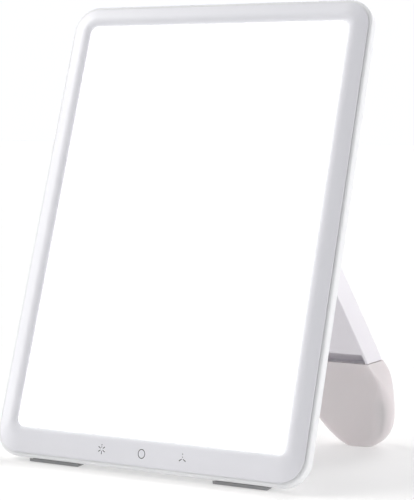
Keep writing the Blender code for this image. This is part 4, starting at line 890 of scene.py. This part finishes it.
def material(name, shade, shift, roughness, spread, grain, grain_depth, metal=0.0):
    """A finish with a fine grain, a soft drift of colour and an uneven sheen.

    shade and shift are two close colours, roughness varies by spread, and the grain has a size in
    grains per metre and a depth in metres.
    """
    made = bpy.data.materials.new(name)
    made.use_nodes = True
    tree = made.node_tree
    links = tree.links
    surface = tree.nodes["Principled BSDF"]
    surface.inputs["Metallic"].default_value = metal
    where = tree.nodes.new("ShaderNodeTexCoord").outputs["Object"]
    drift = node(tree, "ShaderNodeTexNoise", Scale=DRIFT_SCALE, Detail=DRIFT_DETAIL,
                 Roughness=DRIFT_ROUGHNESS)
    links.new(where, drift.inputs["Vector"])
    colour = tree.nodes.new("ShaderNodeValToRGB")
    colour.color_ramp.elements[0].position = DRIFT_LOW_SHARE
    colour.color_ramp.elements[1].position = DRIFT_HIGH_SHARE
    colour.color_ramp.elements[0].color = (*shade, 1)
    colour.color_ramp.elements[1].color = (*shift, 1)
    links.new(drift.outputs["Fac"], colour.inputs["Fac"])
    links.new(colour.outputs["Color"], surface.inputs["Base Color"])
    fine = node(tree, "ShaderNodeTexNoise", Scale=grain, Detail=GRAIN_DETAIL, Roughness=GRAIN_ROUGHNESS)
    links.new(where, fine.inputs["Vector"])
    sheen = node(tree, "ShaderNodeMapRange", To_Min=roughness - spread, To_Max=roughness + spread)
    links.new(fine.outputs["Fac"], sheen.inputs["Value"])
    links.new(sheen.outputs["Result"], surface.inputs["Roughness"])
    relief = node(tree, "ShaderNodeBump", Strength=GRAIN_STRENGTH, Distance=grain_depth)
    links.new(fine.outputs["Fac"], relief.inputs["Height"])
    links.new(relief.outputs["Normal"], surface.inputs["Normal"])
    return made


def lit_panel():
    """The opal sheet, lit from behind, with painted shade of the bezel dimming its glow right beside the
    window's edge.
    """
    made = material("opal_acrylic", (0.80, 0.80, 0.80), (0.82, 0.82, 0.82), 0.35, 0.03, 900, 0.00002)
    tree = made.node_tree
    links = tree.links
    surface = tree.nodes["Principled BSDF"]
    where = tree.nodes.new("ShaderNodeTexCoord").outputs["Object"]
    lay_flat = node(tree, "ShaderNodeMapping", vector_type="TEXTURE")
    lay_flat.inputs["Location"].default_value = HEAD @ Vector((0, 0, PANEL_MIDDLE))
    lay_flat.inputs["Rotation"].default_value = HEAD.to_euler()
    links.new(where, lay_flat.inputs["Vector"])
    place = tree.nodes.new("ShaderNodeSeparateXYZ")
    links.new(lay_flat.outputs["Vector"], place.inputs["Vector"])
    # Painted shade: the glow falls off over the last two millimetres beside the window's edge, as if shaded
    # by the bezel
    edge_shades = []
    for axis, half in (("X", HALF_WIDTH - SIDE_BEZEL), ("Z", HEAD_HEIGHT - SIDE_BEZEL - PANEL_MIDDLE)):
        reach = node(tree, "ShaderNodeMath", operation="ABSOLUTE")
        links.new(place.outputs[axis], reach.inputs[0])
        fade = node(tree, "ShaderNodeMapRange", interpolation_type="SMOOTHSTEP", From_Min=half - PANEL_EDGE_SHADE_WIDTH,
                    From_Max=half, To_Min=1.0, To_Max=PANEL_EDGE_SHADE_SHARE)
        links.new(reach.outputs["Value"], fade.inputs["Value"])
        edge_shades.append(fade)
    both = node(tree, "ShaderNodeMath", operation="MULTIPLY")
    for index, fade in enumerate(edge_shades):
        links.new(fade.outputs["Result"], both.inputs[index])
    brightness = node(tree, "ShaderNodeMath", operation="MULTIPLY")
    brightness.inputs[1].default_value = PANEL_GLOW
    links.new(both.outputs["Value"], brightness.inputs[0])
    links.new(brightness.outputs["Value"], surface.inputs["Emission Strength"])
    surface.inputs["Emission Color"].default_value = (*PANEL_TINT, 1)
    return made


def plain_studio():
    """A pale floor that fades into a white horizon, and soft studio light."""
    scene = bpy.context.scene
    scene.view_settings.view_transform = "Standard"
    bm = bmesh.new()
    bmesh.ops.create_grid(bm, x_segments=1, y_segments=1, size=FLOOR_HALF)
    floor = solid("floor", bm, Matrix.Identity(4))
    pale = material("floor", (0.54, 0.535, 0.53), (0.56, 0.555, 0.55), 0.75, 0.05, 60, 0.0001)
    backlit = pale.node_tree.nodes["Principled BSDF"]
    backlit.inputs["Emission Color"].default_value = (1, 1, 1, 1)
    backlit.inputs["Emission Strength"].default_value = FLOOR_GLOW
    floor.data.materials.append(pale)
    scene.world = bpy.data.worlds.new("studio")
    scene.world.use_nodes = True
    tree = scene.world.node_tree
    backing = tree.nodes["Background"]
    backing.inputs["Color"].default_value = (*AMBIENT_COLOUR, 1)
    way = tree.nodes.new("ShaderNodeSeparateXYZ")
    tree.links.new(tree.nodes.new("ShaderNodeTexCoord").outputs["Generated"], way.inputs["Vector"])
    fade = node(tree, "ShaderNodeMapRange", interpolation_type="SMOOTHSTEP", From_Min=HORIZON_TOP,
                From_Max=HORIZON_FADE, To_Min=HORIZON, To_Max=AMBIENT)
    tree.links.new(way.outputs["Z"], fade.inputs["Value"])
    tree.links.new(fade.outputs["Result"], backing.inputs["Strength"])
    for name, direction, strength, softness, colour in LIGHTS:
        light = bpy.data.lights.new(name, "SUN")
        light.energy = strength
        light.angle = math.radians(softness)
        light.color = colour
        lamp = bpy.data.objects.new(name, light)
        lamp.rotation_euler = Vector(direction).to_track_quat("Z", "Y").to_euler()
        scene.collection.objects.link(lamp)


def camera():
    """A long lens from the front right, a little above the table."""
    eye = bpy.data.cameras.new("camera")
    eye.sensor_width = CAMERA_SENSOR
    eye.sensor_fit = "VERTICAL"
    eye.sensor_height = CAMERA_SENSOR
    eye.lens = CAMERA_LENS
    placed = bpy.data.objects.new("camera", eye)
    placed.location = CAMERA_PLACE
    placed.rotation_euler = [math.radians(angle) for angle in CAMERA_TURN]
    bpy.context.scene.collection.objects.link(placed)
    bpy.context.scene.camera = placed


plain_studio()
camera()

white = material("satin_white", (0.785, 0.785, 0.82), (0.805, 0.805, 0.84), 0.38, 0.05, 2600, 0.00002)
back_white = material("etched_white", (0.815, 0.82, 0.83), (0.835, 0.84, 0.85), 0.52, 0.06, 2200, 0.00004)
stand_white = material("stand_white", (0.835, 0.81, 0.845), (0.855, 0.83, 0.865), 0.46, 0.05, 2400, 0.00003)
silicone = material("boot_silicone", (0.755, 0.700, 0.705), (0.775, 0.720, 0.725), 0.60, 0.06, 1800, 0.00004)
rubber = material("pad_rubber", (0.30, 0.30, 0.305), (0.35, 0.35, 0.355), 0.78, 0.08, 1600, 0.00006)
hinge_plastic = material("hinge_plastic", (0.70, 0.70, 0.715), (0.73, 0.73, 0.745), 0.42, 0.05, 2400, 0.00003)
washer_plastic = material("washer_plastic", (0.55, 0.55, 0.56), (0.60, 0.60, 0.61), 0.35, 0.05, 2400, 0.00002)
steel = material("zinc_steel", (0.60, 0.60, 0.61), (0.70, 0.70, 0.70), 0.32, 0.10, 1400, 0.00002, metal=1.0)
aluminium = material("rolled_aluminium", (0.74, 0.74, 0.75), (0.80, 0.80, 0.80), 0.36, 0.10, 500, 0.00002,
                     metal=1.0)
black = material("black_plastic", (0.020, 0.020, 0.021), (0.032, 0.032, 0.033), 0.42, 0.06, 2400, 0.00003)
ink = material("grey_ink", (0.022, 0.022, 0.025), (0.035, 0.035, 0.038), 0.60, 0.05, 3000, 0.00001)
green_board = material("green_board", (0.02, 0.16, 0.07), (0.03, 0.22, 0.10), 0.35, 0.08, 900, 0.00004)
white_board = material("white_board", (0.74, 0.74, 0.72), (0.80, 0.80, 0.78), 0.40, 0.06, 900, 0.00003)
clear_sheet = material("clear_acrylic", (0.80, 0.84, 0.86), (0.84, 0.87, 0.88), 0.12, 0.03, 600, 0.00001)
film = material("optical_film", (0.80, 0.80, 0.82), (0.86, 0.86, 0.87), 0.25, 0.05, 1800, 0.00002)
reflector = material("reflector_film", (0.88, 0.88, 0.88), (0.92, 0.92, 0.92), 0.30, 0.05, 700, 0.00001)
foam = material("conductive_foam", (0.05, 0.05, 0.055), (0.09, 0.09, 0.095), 0.85, 0.08, 3200, 0.00020)
ribbon = material("ribbon_cable", (0.55, 0.56, 0.58), (0.62, 0.63, 0.65), 0.45, 0.08, 1500, 0.00005)
wire = material("lead_insulation", (0.45, 0.02, 0.02), (0.60, 0.04, 0.03), 0.40, 0.06, 1500, 0.00002)

soft = silicone.node_tree.nodes["Principled BSDF"]
soft.inputs["Subsurface Weight"].default_value = SILICONE_SCATTER
soft.inputs["Subsurface Scale"].default_value = SILICONE_DEPTH
soft.inputs["Subsurface Radius"].default_value = SILICONE_SPREAD

front_bezel(white)
rear_housing(back_white)
for name in ("base_pad_left", "base_pad_right"):
    base_pad(name, rubber)
socket(black)
bracket(hinge_plastic)
boot(silicone)
shell(stand_white)
cover(stand_white)
for name, _ in screw_places("back_screw", HEAD) + screw_places("bracket_screw", HEAD):
    screw(name, HEAD, "head", steel)
for name, _ in screw_places("cover_screw", STAND):
    screw(name, STAND, "stand", steel)
for side in ("left", "right"):
    end_disc("hinge_cap_" + side, "stand", stand_white, "stand_white_plastic", CAP_EDGE)
    end_disc("friction_washer_" + side, "stand", washer_plastic, "washer_plastic", WASHER_EDGE)
printed_marks(ink)

CARRIED_OVER = {
    "diffuser_panel": lit_panel(),
    "optical_film": film,
    "light_guide": clear_sheet,
    "reflector_sheet": reflector,
    "backing_plate": aluminium,
    "led_bar_left": white_board,
    "led_bar_right": white_board,
    "led_lead_left": wire,
    "led_lead_right": wire,
    "control_board": green_board,
    "power_inductor": foam,
    "supply_capacitor": black,
    "controller_chip": black,
    "touch_board": green_board,
    "touch_contact_brightness": foam,
    "touch_contact_power": foam,
    "touch_contact_timer": foam,
    "touch_ribbon": ribbon,
    "board_screw_1": steel,
    "board_screw_2": steel,
    "stand_stiffener": steel,
    "hinge_pin_left": steel,
    "hinge_pin_right": steel,
}
for name, look in CARRIED_OVER.items():
    for slot in frame["nodes"][name].material_slots:
        slot.material = look
